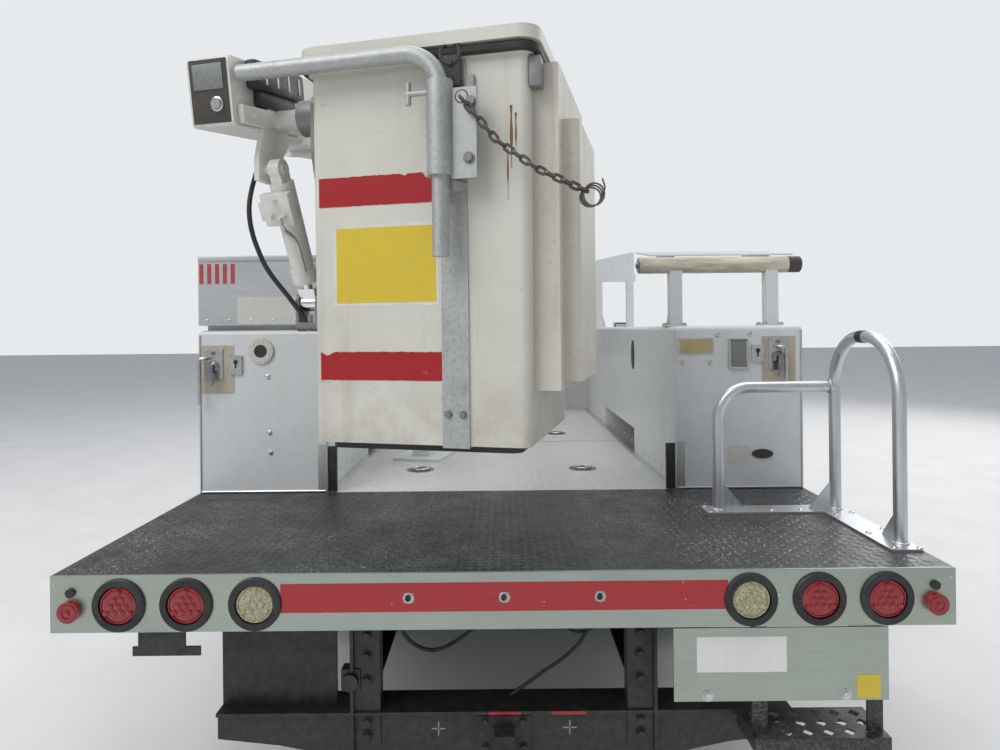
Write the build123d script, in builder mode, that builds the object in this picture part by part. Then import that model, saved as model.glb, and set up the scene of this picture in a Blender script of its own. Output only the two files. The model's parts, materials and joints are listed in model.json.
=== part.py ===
from build123d import *
from math import atan2, cos, degrees, hypot, radians, sin, tan
import os

os.makedirs("parts", exist_ok=True)

# Millimetres. X points to the curb side, Y to the front and Z up, and the ground is Z = 0.
# The origin is the middle of the truck's length and width, on the ground.

# Stance and clearances
wheelbase = 3581
rear_axle_y = -1044
front_axle_y = rear_axle_y + wheelbase
front_overhang = 878
nose_y = front_axle_y + front_overhang
tail_y = -3280
seat_gap = 0.3
panel_gap = 6
pin_gap = 0.5

# Wheels and tyres
tyre_radius = 405
tyre_width = 226
tyre_shoulder = 45
rim_radius = 250
rim_disc = 14
hub_radius = 90
drum_radius = 160
hand_hole_radius = 22
hand_hole_circle = 190
fit_gap = 0.08
stub_radius = 28
half_shaft_radius = 36
front_wheel_x = 900
dual_outer_x = 1058
dual_inner_x = 803
kingpin_x = 735
steer_max = 32

# Chassis frame
rail_outer_x = 432
rail_top_z = 830
rail_height = 200
rail_flange = 75
rail_wall = 8
rail_front_y = nose_y - 140
rail_rear_y = tail_y + 222
cross_width = 90
cross_places = (3150, 1000, 300, -600, -1600, -2500)

# Springs and axles
spring_x = 380
spring_width = 64
spring_leaf = 14
spring_half = 640
spring_drop = 120
beam_height = 90
beam_width = 80
axle_tube_radius = 62
diff_radius = 185
shaft_radius = 45
engine_half = 300
engine_rear_y = 2020
engine_front_y = 2880
engine_floor_z = 600
engine_top_z = 1160
gearbox_half = 170
gearbox_rear_y = 1380
gearbox_floor_z = 520
gearbox_top_z = 850

# Cab
cab_rear_y = 480
cab_wall = 45
cab_floor_z = 880
cab_sill_z = 640
cab_belt_z = 1350
cab_roof_z = 2010
cab_half_belt = 940
cab_half_sill = 900
cab_half_roof = 720
cowl_y = 1880
cowl_z = 1395
windshield_top_y = 1330
roof_rear_y = 530
door_rear_y = 590
door_front_y = 1560
door_low_z = 700
door_top_z = 1890
door_swing = 65
door_hinge_x = cab_half_belt + 4
door_hinge_y = door_front_y - 18
cab_hinge_starts = (cab_belt_z - 245, cab_belt_z - 125)
window_low_z = cab_belt_z + 60
window_top_z = door_top_z - 50
glass_depth = 14
glass_thick = 6
shield_half_low = 780
shield_half_top = 620
rear_window_half = 560
running_board_half = 1010
mirror_half = 1270
hood_front_y = 3270
hood_front_z = 1215
hood_half_rear = 800
hood_half_front = 700
hood_wall = 24
hood_lip = 90
hood_swing = 55
fender_half = 945
flare_half = 1020
fender_wall = 24
fender_top_rear_z = 1345
fender_top_front_z = 1190
fender_front_y = 3238
fender_low_z = 700
arch_radius_front = 520
flare_band = 55
liner_inner_x = 640
grille_half = 560
grille_low_z = 830
bumper_low_z = 500
bumper_top_z = 740
bumper_half = 1040
bumper_depth = 120

# Service body
body_half = 1195
box_depth = 507
box_top_z = 1644
box_low_z = 640
box_wall = 22
shelf_depth = 914
body_length = 2743
deck_z = 1000
deck_thick = 5
door_gap = 4
leaf_out = 2.6
leaf_long = 60
bay_axis_x = body_half + 3
door_thick = 24
arch_radius_rear = 480
arch_centre_z = 440
box_rear_y = tail_y + shelf_depth
box_front_y = box_rear_y + body_length
box_inner_x = body_half - box_depth
box_edge_radius = 18
well_half = 490
well_top_z = 1120
frame_face = 24
front_bay_y = box_front_y - 24
rear_bay_y = box_rear_y + 24
bay_low_z = box_low_z + 24
bay_top_z = box_top_z - 24
paddle_width = 110
paddle_height = 70
bay_swing = 110
sill_top_z = deck_z - deck_thick - 90
bulkhead_top_z = 1400
bulkhead_thick = 40
handrail_radius = 19
handrail_inner_x = 752
handrail_outer_x = 1160
handrail_front_y = tail_y + 580
handrail_rear_y = tail_y + 190
handrail_low_z = deck_z + 430
handrail_top_z = deck_z + 605
hitch_half = 830
hitch_low_z = 400
hitch_top_z = 530
hitch_rear_y = tail_y + 180
hitch_front_y = tail_y + 290
step_panel_span = (455, 1030)
step_panel_z = (640, 836)
step_tread_span = (665, 1025)
step_tread_z = 550
step_tread_tall = 40
step_tread_depth = 150
top_box_low_z = box_top_z + 20
top_box_top_z = 1940
top_box_length = 800
roller_radius = 34
roller_z = 1900
roller_y = tail_y + 1080
roller_span = (584, 1256)
rack_post = 50
front_rack_y = 100

# Tail board and lamps
board_height = 150
board_thick = 6
lamp_radius = 51
grommet_radius = 70
grommet_depth = 22
lamp_z = deck_z - 78
marker_radius = 28

# Aerial device, in its own frame that turns about the turret's axis
turret_y = -80
slew_rest = -14
turret_base_z = 1500
arm_pivot_v = -60
arm_pivot_z = 2260
arm_length = 1150
arm_rest = 5
arm_travel = 75
arm_height = 150
arm_width = 150
arm_wall = 10
link_offset_v = -147
link_offset_z = 163
link_height = 70
elbow_v = 1080
elbow_z = 2940
boom_dip = 8.5
boom_travel = 83
boom_height = 240
boom_width = 150
boom_wall = 12
boom_butt = 180
boom_slide_gap = 0.4
tip_v = -3240
tip_length = 380
tip_width = 130
tip_height = 184
outer_boom_end = 3870
inner_boom_start = 1200
extension = 2200
cheek_inner = 85
cheek_outer = 105
arm_pin = 30
link_pin = 22
ram_pin = 22
level_pin = 14
arm_ram_base = (20, 1640)
arm_ram_reach = 560
arm_ram_drop = 128
boom_ram_base = (900, 2640)
boom_ram_reach = 900
boom_ram_drop = 190
level_ram_u = 120
clevis_half = 38
level_ram_up = (-63, -159)
level_ram_low = (120, -537)
platform_shaft_s = 4172
platform_shaft_drop = 60
platform_shaft = 30
bucket_u = 563
bucket_v = -2858
bucket_low_z = 1338
bucket_rim_z = 2370
bucket_top_half = 305
bucket_low_half = 300
bucket_wall = 10
bucket_corner = 24
bucket_pad_thick = 20
sleeve_low_z = 2027
sleeve_tall = 239
sleeve_radius = 34
flag_width = 66
lip_height = 34
lip_reach = 30
strap_u = 668
strap_width = 73
sleeve_u = 652
pipe_radius = 22
pipe_top_z = 2372
pipe_low_z = 1825
chain_pitch = 24
chain_wire = 6
boom_rest_v = -1600


def block(x_span, y_span, z_span, mode=Mode.ADD):
    """Add or cut a straight-sided bar that fills three spans, in the open part."""
    middle = tuple((low + high) / 2 for low, high in (x_span, y_span, z_span))
    with Locations(middle):
        Box(x_span[1] - x_span[0], y_span[1] - y_span[0], z_span[1] - z_span[0], mode=mode)


def cross_rod(radius, x_span, y, z, mode=Mode.ADD):
    """Add or cut a round bar that runs across the truck, in the open part."""
    middle = ((x_span[0] + x_span[1]) / 2, y, z)
    with Locations(Location(middle, (0, 90, 0))):
        Cylinder(radius, x_span[1] - x_span[0], mode=mode)


def hinge_leaf(side, hinge, axis_x, axis_at, out_span, swing_span, along_span):
    """Add one leaf of a hinge: out from its axis, from the axis towards the door, and along it."""
    x_span = sorted((side * (axis_x + out_span[0]), side * (axis_x + out_span[1])))
    if hinge == "low":
        block(x_span, along_span, (axis_at + swing_span[0], axis_at + swing_span[1]))
    else:
        turn = 1 if hinge == "rear" else -1
        y_span = sorted((axis_at + turn * swing_span[0], axis_at + turn * swing_span[1]))
        block(x_span, y_span, along_span)


# Chassis frame: two channel rails and their cross members
with BuildPart() as chassis_frame:
    for side in (-1, 1):
        web_x = side * (rail_outer_x - rail_wall / 2)
        web = (web_x - rail_wall / 2, web_x + rail_wall / 2)
        flange_middle = side * (rail_outer_x - rail_flange / 2)
        flange = (flange_middle - rail_flange / 2, flange_middle + rail_flange / 2)
        block(web, (rail_rear_y, rail_front_y), (rail_top_z - rail_height, rail_top_z))
        block(flange, (rail_rear_y, rail_front_y), (rail_top_z - rail_wall, rail_top_z))
        block(flange, (rail_rear_y, rail_front_y),
            (rail_top_z - rail_height, rail_top_z - rail_height + rail_wall))
    inner = rail_outer_x - rail_wall
    for y in cross_places:
        drop = rail_height if y < gearbox_rear_y or y > engine_front_y else rail_height + 130
        block((-inner, inner), (y - cross_width / 2, y + cross_width / 2),
            (rail_top_z - drop + 60, rail_top_z - drop + 90))
        for end in (-1, 1):
            near = sorted((end * inner, end * (inner - rail_wall * 2)))
            block(near, (y - cross_width / 2, y + cross_width / 2),
                (rail_top_z - drop + 60, rail_top_z - 20))
chassis_frame.part.label = "chassis_frame"
export_step(chassis_frame.part, "parts/chassis_frame.step")

# Engine and gearbox, one plain block
with BuildPart() as engine_block:
    block((-engine_half, engine_half), (engine_rear_y, engine_front_y), (engine_floor_z, engine_top_z))
    block((-gearbox_half, gearbox_half), (gearbox_rear_y, engine_rear_y), (gearbox_floor_z, gearbox_top_z))
    mount_reach = rail_outer_x - rail_wall - seat_gap
    mount_top = rail_top_z - rail_wall - seat_gap
    block((-mount_reach, mount_reach), (2480, 2560), (mount_top - 90, mount_top))
engine_block.part.label = "engine_block"
export_step(engine_block.part, "parts/engine_block.step")

# Front axle beam with its leaf springs and kingpin eyes
beam_top = tyre_radius + 20
eye_radius = 42
with BuildPart() as front_axle:
    with BuildSketch(Plane.XZ.offset(-front_axle_y - beam_width / 2)):
        with BuildLine():
            Polyline(
                (-kingpin_x, beam_top + 20),
                (-kingpin_x + 120, beam_top + 20),
                (-spring_x - 80, beam_top - 60),
                (spring_x + 80, beam_top - 60),
                (kingpin_x - 120, beam_top + 20),
                (kingpin_x, beam_top + 20),
                (kingpin_x, beam_top + 20 - beam_height),
                (kingpin_x - 130, beam_top + 20 - beam_height),
                (spring_x + 70, beam_top - 60 - beam_height),
                (-spring_x - 70, beam_top - 60 - beam_height),
                (-kingpin_x + 130, beam_top + 20 - beam_height),
                (-kingpin_x, beam_top + 20 - beam_height),
                close=True,
            )
        make_face()
    extrude(amount=beam_width)
    for side in (-1, 1):
        with Locations((side * kingpin_x, front_axle_y, beam_top + 20 - beam_height / 2)):
            Cylinder(eye_radius, beam_height)
        spring_z = beam_top - 66
        with BuildSketch(Plane.YZ.offset(side * spring_x - spring_width / 2)):
            with BuildLine():
                lower = ThreePointArc(
                    (front_axle_y - spring_half, spring_z + spring_drop),
                    (front_axle_y, spring_z),
                    (front_axle_y + spring_half, spring_z + spring_drop),
                )
                upper = ThreePointArc(
                    (front_axle_y - spring_half, spring_z + spring_drop + spring_leaf),
                    (front_axle_y, spring_z + 3 * spring_leaf),
                    (front_axle_y + spring_half, spring_z + spring_drop + spring_leaf),
                )
                Line(lower @ 0, upper @ 0)
                Line(lower @ 1, upper @ 1)
            make_face()
        extrude(amount=spring_width)
        for end in (-1, 1):
            hanger_y = front_axle_y + end * (spring_half - 25)
            hanger_span = (side * spring_x - spring_width / 2, side * spring_x + spring_width / 2)
            hanger_top = rail_top_z - rail_height - seat_gap
            block(hanger_span, (hanger_y - 25, hanger_y + 25), (spring_z + spring_drop, hanger_top))
    for side in (-1, 1):
        with Locations((side * kingpin_x, front_axle_y, beam_top + 20 - beam_height / 2)):
            Cylinder(14 + 0.1, beam_height + 2, mode=Mode.SUBTRACT)
front_axle.part.label = "front_axle"
export_step(front_axle.part, "parts/front_axle.step")

# Steering knuckles: a fork round the axle's eye, a kingpin, the stub axle and the steering arm
for side, name in ((-1, "knuckle_left"), (1, "knuckle_right")):
    eye_top = beam_top + 20
    eye_low = eye_top - beam_height
    stub_end = side * (front_wheel_x - 20)
    with BuildPart() as knuckle:
        with Locations((side * kingpin_x, front_axle_y, eye_top + 15)):
            Cylinder(eye_radius, 30 - 2 * pin_gap)
        with Locations((side * kingpin_x, front_axle_y, eye_low - 15)):
            Cylinder(eye_radius, 30 - 2 * pin_gap)
        with Locations((side * kingpin_x, front_axle_y, (eye_top + eye_low) / 2)):
            Cylinder(14, beam_height + 40)
        web_x = sorted((side * (kingpin_x + eye_radius + 4), side * (kingpin_x + eye_radius + 34)))
        block(web_x, (front_axle_y - 45, front_axle_y + 45), (eye_low - 29, eye_top + 29))
        for cheek in ((eye_low - 29, eye_low - 1), (eye_top + 1, eye_top + 29)):
            cheek_x = sorted((side * kingpin_x, side * (kingpin_x + eye_radius + 6)))
            block(cheek_x, (front_axle_y - 40, front_axle_y + 40), cheek)
        cross_rod(stub_radius, sorted((side * (kingpin_x + eye_radius + 20), stub_end)), front_axle_y,
            tyre_radius)
        arm_x = sorted((side * (kingpin_x - 60), side * (kingpin_x + eye_radius + 20)))
        block(arm_x, (front_axle_y - 190, front_axle_y - 40), (eye_low - 29, eye_low - 9))
    knuckle.part.label = name
    export_step(knuckle.part, f"parts/{name}.step")

# Rear axle: tube, differential, springs and the drive shaft
with BuildPart() as rear_axle:
    tube_reach = dual_inner_x - 60
    cross_rod(axle_tube_radius, (-tube_reach, tube_reach), rear_axle_y, tyre_radius)
    cross_rod(half_shaft_radius, (-dual_outer_x + 70, dual_outer_x - 70), rear_axle_y, tyre_radius)
    with Locations((0, rear_axle_y, tyre_radius)):
        Sphere(diff_radius)
    shaft_start = Vector(0, rear_axle_y + diff_radius - 25, tyre_radius + 10)
    shaft_end = Vector(0, gearbox_rear_y - seat_gap, gearbox_floor_z + 140)
    shaft_run = shaft_end - shaft_start
    shaft_plane = Plane(origin=(shaft_start + shaft_end) * 0.5, z_dir=shaft_run)
    with Locations(shaft_plane.location):
        Cylinder(shaft_radius, shaft_run.length - 2 * shaft_radius)
    for end, radius in ((shaft_start, 70), (shaft_end - Vector(0, 30, 0), 60)):
        with Locations(Location(end, (90, 0, 0))):
            Cylinder(radius, 60 if radius == 60 else 120)
    for side in (-1, 1):
        spring_z = tyre_radius + axle_tube_radius - 6
        with BuildSketch(Plane.YZ.offset(side * (spring_x + 100) - spring_width / 2)):
            with BuildLine():
                lower = ThreePointArc(
                    (rear_axle_y - spring_half, spring_z + spring_drop),
                    (rear_axle_y, spring_z),
                    (rear_axle_y + spring_half, spring_z + spring_drop),
                )
                upper = ThreePointArc(
                    (rear_axle_y - spring_half, spring_z + spring_drop + spring_leaf),
                    (rear_axle_y, spring_z + 6 * spring_leaf),
                    (rear_axle_y + spring_half, spring_z + spring_drop + spring_leaf),
                )
                Line(lower @ 0, upper @ 0)
                Line(lower @ 1, upper @ 1)
            make_face()
        extrude(amount=spring_width)
        for end in (-1, 1):
            hanger_y = rear_axle_y + end * (spring_half - 25)
            hanger_span = sorted((side * (rail_outer_x + seat_gap),
                side * (spring_x + 100 + spring_width / 2)))
            block(hanger_span, (hanger_y - 30, hanger_y + 30), (spring_z + spring_drop, rail_top_z - 40))
rear_axle.part.label = "rear_axle"
export_step(rear_axle.part, "parts/rear_axle.step")


def make_wheel(label, axle_y, tyre_places, rim_places, hub_span, bore_end, bore_radius, drum):
    """Make one wheel body: its tyres, and the pressed rims with hub, drum and hand holes that carry them."""
    with BuildPart() as wheel:
        for middle in tyre_places:
            half = tyre_width / 2
            with BuildSketch(Plane.XZ.offset(-axle_y)):
                with BuildLine():
                    Polyline(
                        (middle - half + 14, tyre_radius + rim_radius),
                        (middle - half, tyre_radius + rim_radius + 55),
                        (middle - half, 2 * tyre_radius - tyre_shoulder),
                    )
                    ThreePointArc(
                        (middle - half, 2 * tyre_radius - tyre_shoulder),
                        (middle - half + 8, 2 * tyre_radius - 14),
                        (middle - half + 26, 2 * tyre_radius - 2),
                    )
                    ThreePointArc(
                        (middle - half + 26, 2 * tyre_radius - 2),
                        (middle, 2 * tyre_radius),
                        (middle + half - 26, 2 * tyre_radius - 2),
                    )
                    ThreePointArc(
                        (middle + half - 26, 2 * tyre_radius - 2),
                        (middle + half - 8, 2 * tyre_radius - 14),
                        (middle + half, 2 * tyre_radius - tyre_shoulder),
                    )
                    Polyline(
                        (middle + half, 2 * tyre_radius - tyre_shoulder),
                        (middle + half, tyre_radius + rim_radius + 55),
                        (middle + half - 14, tyre_radius + rim_radius),
                        (middle - half + 14, tyre_radius + rim_radius),
                    )
                make_face()
            revolve(axis=Axis((0, axle_y, tyre_radius), (1, 0, 0)))
        for middle, disc_x, disc_side in rim_places:
            half = tyre_width / 2 - 14
            with BuildSketch(Plane.XZ.offset(-axle_y)):
                with BuildLine():
                    Polyline(
                        (middle - half - 4, tyre_radius + rim_radius - seat_gap),
                        (middle + half + 4, tyre_radius + rim_radius - seat_gap),
                        (middle + half + 4, tyre_radius + rim_radius - 16),
                        (middle + half - 34, tyre_radius + rim_radius - 30),
                        (middle - half + 34, tyre_radius + rim_radius - 30),
                        (middle - half - 4, tyre_radius + rim_radius - 16),
                        close=True,
                    )
                make_face()
            revolve(axis=Axis((0, axle_y, tyre_radius), (1, 0, 0)))
            rim_edge = middle + disc_side * (half - 60)
            with BuildSketch(Plane.XZ.offset(-axle_y)):
                with BuildLine():
                    Polyline(
                        (disc_x, tyre_radius + 62),
                        (disc_x, tyre_radius + 150),
                        (rim_edge, tyre_radius + rim_radius - 26),
                        (rim_edge + rim_disc * 1.4, tyre_radius + rim_radius - 26),
                        (disc_x + rim_disc, tyre_radius + 156),
                        (disc_x + rim_disc, tyre_radius + 62),
                        close=True,
                    )
                make_face()
            revolve(axis=Axis((0, axle_y, tyre_radius), (1, 0, 0)))
        cross_rod(hub_radius, hub_span, axle_y, tyre_radius)
        cross_rod(drum_radius, drum, axle_y, tyre_radius)
        cross_rod(bore_radius, bore_end, axle_y, tyre_radius, mode=Mode.SUBTRACT)
        with BuildSketch(Plane.YZ.offset(-body_half)):
            with Locations((axle_y, tyre_radius)):
                with PolarLocations(hand_hole_circle, 8):
                    Circle(hand_hole_radius)
        extrude(amount=2 * body_half, mode=Mode.SUBTRACT)
    wheel.part.label = label
    export_step(wheel.part, f"parts/{label}.step")


for side, name in ((-1, "left"), (1, "right")):
    front_hub = sorted((side * (kingpin_x + 82), side * (front_wheel_x + 60)))
    front_bore = sorted((side * (kingpin_x + 81), side * (front_wheel_x - 19)))
    front_drum = sorted((side * (kingpin_x + 82), side * (kingpin_x + 130)))
    front_disc = side * (front_wheel_x + 30) - (rim_disc if side < 0 else 0)
    make_wheel(
        f"wheel_front_{name}",
        front_axle_y,
        [side * front_wheel_x],
        [(side * front_wheel_x, front_disc, side)],
        front_hub,
        front_bore,
        stub_radius + fit_gap,
        front_drum,
    )
    dual_middle = side * (dual_outer_x + dual_inner_x) / 2
    rear_hub = sorted((side * (dual_inner_x - 35), side * (dual_outer_x + 20)))
    rear_bore = sorted((side * (dual_inner_x - 36), side * (dual_outer_x - 69)))
    rear_drum = sorted((side * (dual_inner_x - 35), side * (dual_inner_x + 95)))
    discs = sorted((dual_middle - rim_disc - seat_gap / 2, dual_middle + seat_gap / 2),
        key=lambda x: -side * x)
    make_wheel(
        f"wheel_rear_{name}",
        rear_axle_y,
        [side * dual_outer_x, side * dual_inner_x],
        [(side * dual_outer_x, discs[0], -side), (side * dual_inner_x, discs[1], side)],
        rear_hub,
        rear_bore,
        half_shaft_radius + fit_gap,
        rear_drum,
    )


def cab_form(inset, rear, floor):
    """Return the cab's closed outer form, moved inwards by inset, from its side and end outlines."""
    with BuildPart() as form:
        slope = Vector(windshield_top_y - cowl_y, cab_roof_z - 30 - cowl_z).normalized()
        shift = Vector(-slope.Y, slope.X) * -inset
        with BuildSketch(Plane.YZ.offset(-cab_half_belt - 10)):
            with BuildLine():
                Polyline(
                    (rear, floor),
                    (cowl_y - inset, floor),
                    (cowl_y - inset, cowl_z - inset * 0.4),
                    (windshield_top_y + shift.X, cab_roof_z - 30 - inset),
                    (windshield_top_y - 130, cab_roof_z - inset),
                    (roof_rear_y + inset + 60, cab_roof_z - inset),
                    (rear, cab_roof_z - inset - 70),
                    close=True,
                )
            make_face()
        extrude(amount=2 * cab_half_belt + 20)
        with BuildSketch(Plane.XZ.offset(-cowl_y - 10)):
            with BuildLine():
                Polyline(
                    (cab_half_sill - inset, floor - 10),
                    (cab_half_belt - inset, cab_belt_z - 250),
                    (cab_half_belt - inset, cab_belt_z),
                    (cab_half_roof - inset + 60, cab_roof_z - inset - 90),
                    (cab_half_roof - inset, cab_roof_z - inset + 10),
                    (-cab_half_roof + inset, cab_roof_z - inset + 10),
                    (-cab_half_roof + inset - 60, cab_roof_z - inset - 90),
                    (-cab_half_belt + inset, cab_belt_z),
                    (-cab_half_belt + inset, cab_belt_z - 250),
                    (-cab_half_sill + inset, floor - 10),
                    close=True,
                )
            make_face()
        extrude(amount=cowl_y - cab_rear_y + 20, mode=Mode.INTERSECT)
    return form.part


def door_outline(grow):
    """Return the door's opening as a bar across the cab, grown by a gap on every side."""
    with BuildPart() as opening:
        with BuildSketch(Plane.YZ.offset(-body_half)) as outline:
            with BuildLine():
                Polyline(
                    (door_rear_y - grow, door_low_z - grow),
                    (door_front_y + grow, door_low_z - grow),
                    (door_front_y + grow, cab_belt_z + 30),
                    (door_front_y - 330 + grow, door_top_z + grow),
                    (door_rear_y - grow, door_top_z + grow),
                    close=True,
                )
            make_face()
            fillet(outline.vertices(), 40)
        extrude(amount=2 * body_half)
    return opening.part


def window_bar(half_low, half_top, y_near, y_far, z_low, z_top):
    """Return a bar along the truck with a window's outline, narrower at its top."""
    with BuildPart() as bar:
        with BuildSketch(Plane.XZ.offset(-y_far)) as outline:
            with BuildLine():
                Polyline(
                    (-half_low, z_low),
                    (half_low, z_low),
                    (half_top, z_top),
                    (-half_top, z_top),
                    close=True,
                )
            make_face()
            fillet(outline.vertices(), 50)
        extrude(amount=y_far - y_near)
    return bar.part


def side_window(grow):
    """Return the door window's opening as a bar across the cab, grown by a gap on every side."""
    with BuildPart() as bar:
        with BuildSketch(Plane.YZ.offset(-body_half)) as outline:
            with BuildLine():
                Polyline(
                    (door_rear_y + 70 - grow, window_low_z - grow),
                    (door_front_y - 90 + grow, window_low_z - grow),
                    (door_front_y - 380 + grow, window_top_z + grow),
                    (door_rear_y + 70 - grow, window_top_z + grow),
                    close=True,
                )
            make_face()
            fillet(outline.vertices(), 30)
        extrude(amount=2 * body_half)
    return bar.part


outer_form = cab_form(0, cab_rear_y, cab_sill_z)
inner_form = cab_form(cab_wall, cab_rear_y + cab_wall, cab_floor_z)
pane_outside = cab_form(glass_depth, cab_rear_y + glass_depth, cab_sill_z)
pane_inside = cab_form(glass_depth + glass_thick, cab_rear_y + glass_depth + glass_thick, cab_sill_z - 20)
cab_walls = outer_form - inner_form
pane_skin = pane_outside - pane_inside
shield_bar = window_bar(shield_half_low, shield_half_top, windshield_top_y - 90, cowl_y + 20,
    cowl_z + 50, cab_roof_z - 95)
rear_bar = window_bar(rear_window_half, rear_window_half - 40, cab_rear_y - 20, cab_rear_y + 90, 1430, 1840)

keep_half = cab_half_sill - cab_wall - panel_gap
keep_height = cab_floor_z - cab_sill_z
door_keep = Pos(0, 1000, cab_floor_z - keep_height / 2) * Box(2 * keep_half, 3000, keep_height)

# Cab shell: floor, walls, roof and pillars, with the openings for the doors and windows
with BuildPart() as cab_shell:
    add(cab_walls)
    add(door_outline(0) - door_keep, mode=Mode.SUBTRACT)
    add(shield_bar, mode=Mode.SUBTRACT)
    add(rear_bar, mode=Mode.SUBTRACT)
    under_half = cab_half_sill - 90
    block((-under_half, under_half), (cab_rear_y - 10, cowl_y + 10),
        (cab_sill_z - 20, cab_floor_z - 22), mode=Mode.SUBTRACT)
    for side in (-1, 1):
        board = sorted((side * (cab_half_sill - 60), side * running_board_half))
        block(board, (door_rear_y + 30, cowl_y - 20), (cab_sill_z - 34, cab_sill_z))
        for start in cab_hinge_starts:
            along = (start, start + leaf_long)
            hinge_leaf(side, "front", door_hinge_x, door_hinge_y, (-3.6, 4), (-22, 0), along)
            hinge_leaf(side, "front", door_hinge_x, door_hinge_y, (-8, 4), (-45, -20), along)
        for y in (cab_rear_y + 140, cowl_y - 200):
            mount = sorted((side * (rail_outer_x - 70), side * rail_outer_x))
            block(mount, (y - 50, y + 50), (rail_top_z + seat_gap, cab_floor_z - 20))
cab_shell.part.label = "cab_shell"
export_step(cab_shell.part, "parts/cab_shell.step")

# Windshield and rear window
with BuildPart() as cab_glass:
    add(pane_skin)
    windows = window_bar(
        shield_half_low - seat_gap,
        shield_half_top - seat_gap,
        windshield_top_y - 90,
        cowl_y + 20,
        cowl_z + 50 + seat_gap,
        cab_roof_z - 95 - seat_gap,
    )
    rear_pane = window_bar(
        rear_window_half - seat_gap,
        rear_window_half - 40 - seat_gap,
        cab_rear_y - 20,
        cab_rear_y + 90,
        1430 + seat_gap,
        1840 - seat_gap,
    )
    add(windows + rear_pane, mode=Mode.INTERSECT)
cab_glass.part.label = "cab_glass"
export_step(cab_glass.part, "parts/cab_glass.step")

# Seat bench, dash with its column, and the steering wheel
with BuildPart() as cab_interior:
    seat_half = 640
    with BuildSketch(Plane.YZ.offset(-seat_half)):
        with BuildLine():
            Polyline((640, cab_floor_z + seat_gap), (1080, cab_floor_z + seat_gap), (1110, 1090))
            ThreePointArc((1110, 1090), (1100, 1140), (1050, 1150))
            Polyline((1050, 1150), (760, 1130), (690, 1640))
            ThreePointArc((690, 1640), (640, 1690), (590, 1640))
            Polyline((590, 1640), (620, 1100), (640, cab_floor_z + seat_gap))
        make_face()
    extrude(amount=2 * seat_half)
    block((-90, -70), (600, 1200), (1000, 1800), mode=Mode.SUBTRACT)
    dash_half = cab_half_sill - cab_wall - 20
    dash_front_y = cowl_y - cab_wall - seat_gap
    with BuildSketch(Plane.YZ.offset(-dash_half)):
        with BuildLine():
            Polyline((1620, 1050), (1560, 1180), (1555, 1260))
            ThreePointArc((1555, 1260), (1590, 1325), (1660, 1340))
            Polyline((1660, 1340), (dash_front_y, 1335), (dash_front_y, 950), (1700, 950), (1620, 1050))
        make_face()
    extrude(amount=2 * dash_half)
    wheel_middle = Vector(-430, 1380, 1290)
    column = Plane(origin=wheel_middle, z_dir=(0, -1, 0.55))
    with Locations(column.location):
        Torus(185, 15)
        Cylinder(38, 40)
        with PolarLocations(95, 3, start_angle=90):
            Box(190, 26, 14)
    with Locations(column.offset(-110).location):
        Cylinder(26, 220)
cab_interior.part.label = "cab_interior"
export_step(cab_interior.part, "parts/cab_interior.step")

# Cab doors, each with its window pane and towing mirror
for side, name in ((-1, "left"), (1, "right")):
    door_low_x = cab_half_sill - cab_wall
    half_space = Pos(side * (body_half + 600), 1000, 1200) * Box(2 * body_half, 3000, 2600)
    with BuildPart() as cab_door:
        add(cab_walls)
        add(door_outline(-panel_gap), mode=Mode.INTERSECT)
        add(half_space, mode=Mode.INTERSECT)
        block((-door_low_x, door_low_x), (cab_rear_y, cowl_y), (cab_sill_z - 40, cab_floor_z),
            mode=Mode.SUBTRACT)
        add(side_window(0), mode=Mode.SUBTRACT)
        mirror_inner = side * (mirror_half - 185)
        block(sorted((mirror_inner, side * mirror_half)), (1470, 1530), (1330, 1690))
        for z in (cab_belt_z, cab_belt_z + 66):
            reach = sorted((side * (cab_half_belt - 24), mirror_inner))
            block(reach, (1486, 1512), (z, z + 26))
        handle_x = sorted((side * (cab_half_belt - 10), side * (cab_half_belt + 32)))
        block(handle_x, (door_rear_y + 60, door_rear_y + 210), (cab_belt_z - 110, cab_belt_z - 82))
        grip_x = sorted((side * (cab_half_belt - 1), side * (cab_half_belt + 18)))
        block(grip_x, (door_rear_y + 85, door_rear_y + 185), (cab_belt_z - 130, cab_belt_z - 60),
            mode=Mode.SUBTRACT)
        add((pane_skin & side_window(-seat_gap)) & half_space)
        for start in cab_hinge_starts:
            along = (start + leaf_long + seat_gap, start + 2 * leaf_long)
            hinge_leaf(side, "front", door_hinge_x, door_hinge_y, (-8, 4), (-2, 45), along)
    cab_door.part.label = f"cab_door_{name}"
    export_step(cab_door.part, f"parts/cab_door_{name}.step")


def hood_section(y, half, top_z, inset, floor_z):
    """Return one section of the hood across the truck: a crowned top with flanges at its sides."""
    with BuildSketch(Plane.XZ.offset(-y)) as section:
        with BuildLine():
            side_z = top_z - 55 - inset
            Line((-half + inset, floor_z), (half - inset, floor_z))
            Line((half - inset, floor_z), (half - inset, side_z))
            ThreePointArc((half - inset, side_z), (0, top_z - inset), (-half + inset, side_z))
            Line((-half + inset, side_z), (-half + inset, floor_z))
        make_face()
    return section.sketch


hood_rear_y = cowl_y + panel_gap
with BuildPart() as hood:
    add(hood_section(hood_rear_y, hood_half_rear, cowl_z, 0, cowl_z - 110))
    add(hood_section(hood_front_y, hood_half_front, hood_front_z, 0, hood_front_z - hood_lip))
    loft()
    hollow_front_y = hood_front_y - hood_wall
    hollow_front_low_z = hood_front_z - hood_lip - 3
    loft(
        [
            hood_section(hood_rear_y - 1, hood_half_rear, cowl_z, hood_wall, cowl_z - 112),
            hood_section(hollow_front_y, hood_half_front, hood_front_z, hood_wall, hollow_front_low_z),
        ],
        mode=Mode.SUBTRACT,
    )
hood.part.label = "hood"
export_step(hood.part, "parts/hood.step")


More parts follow.
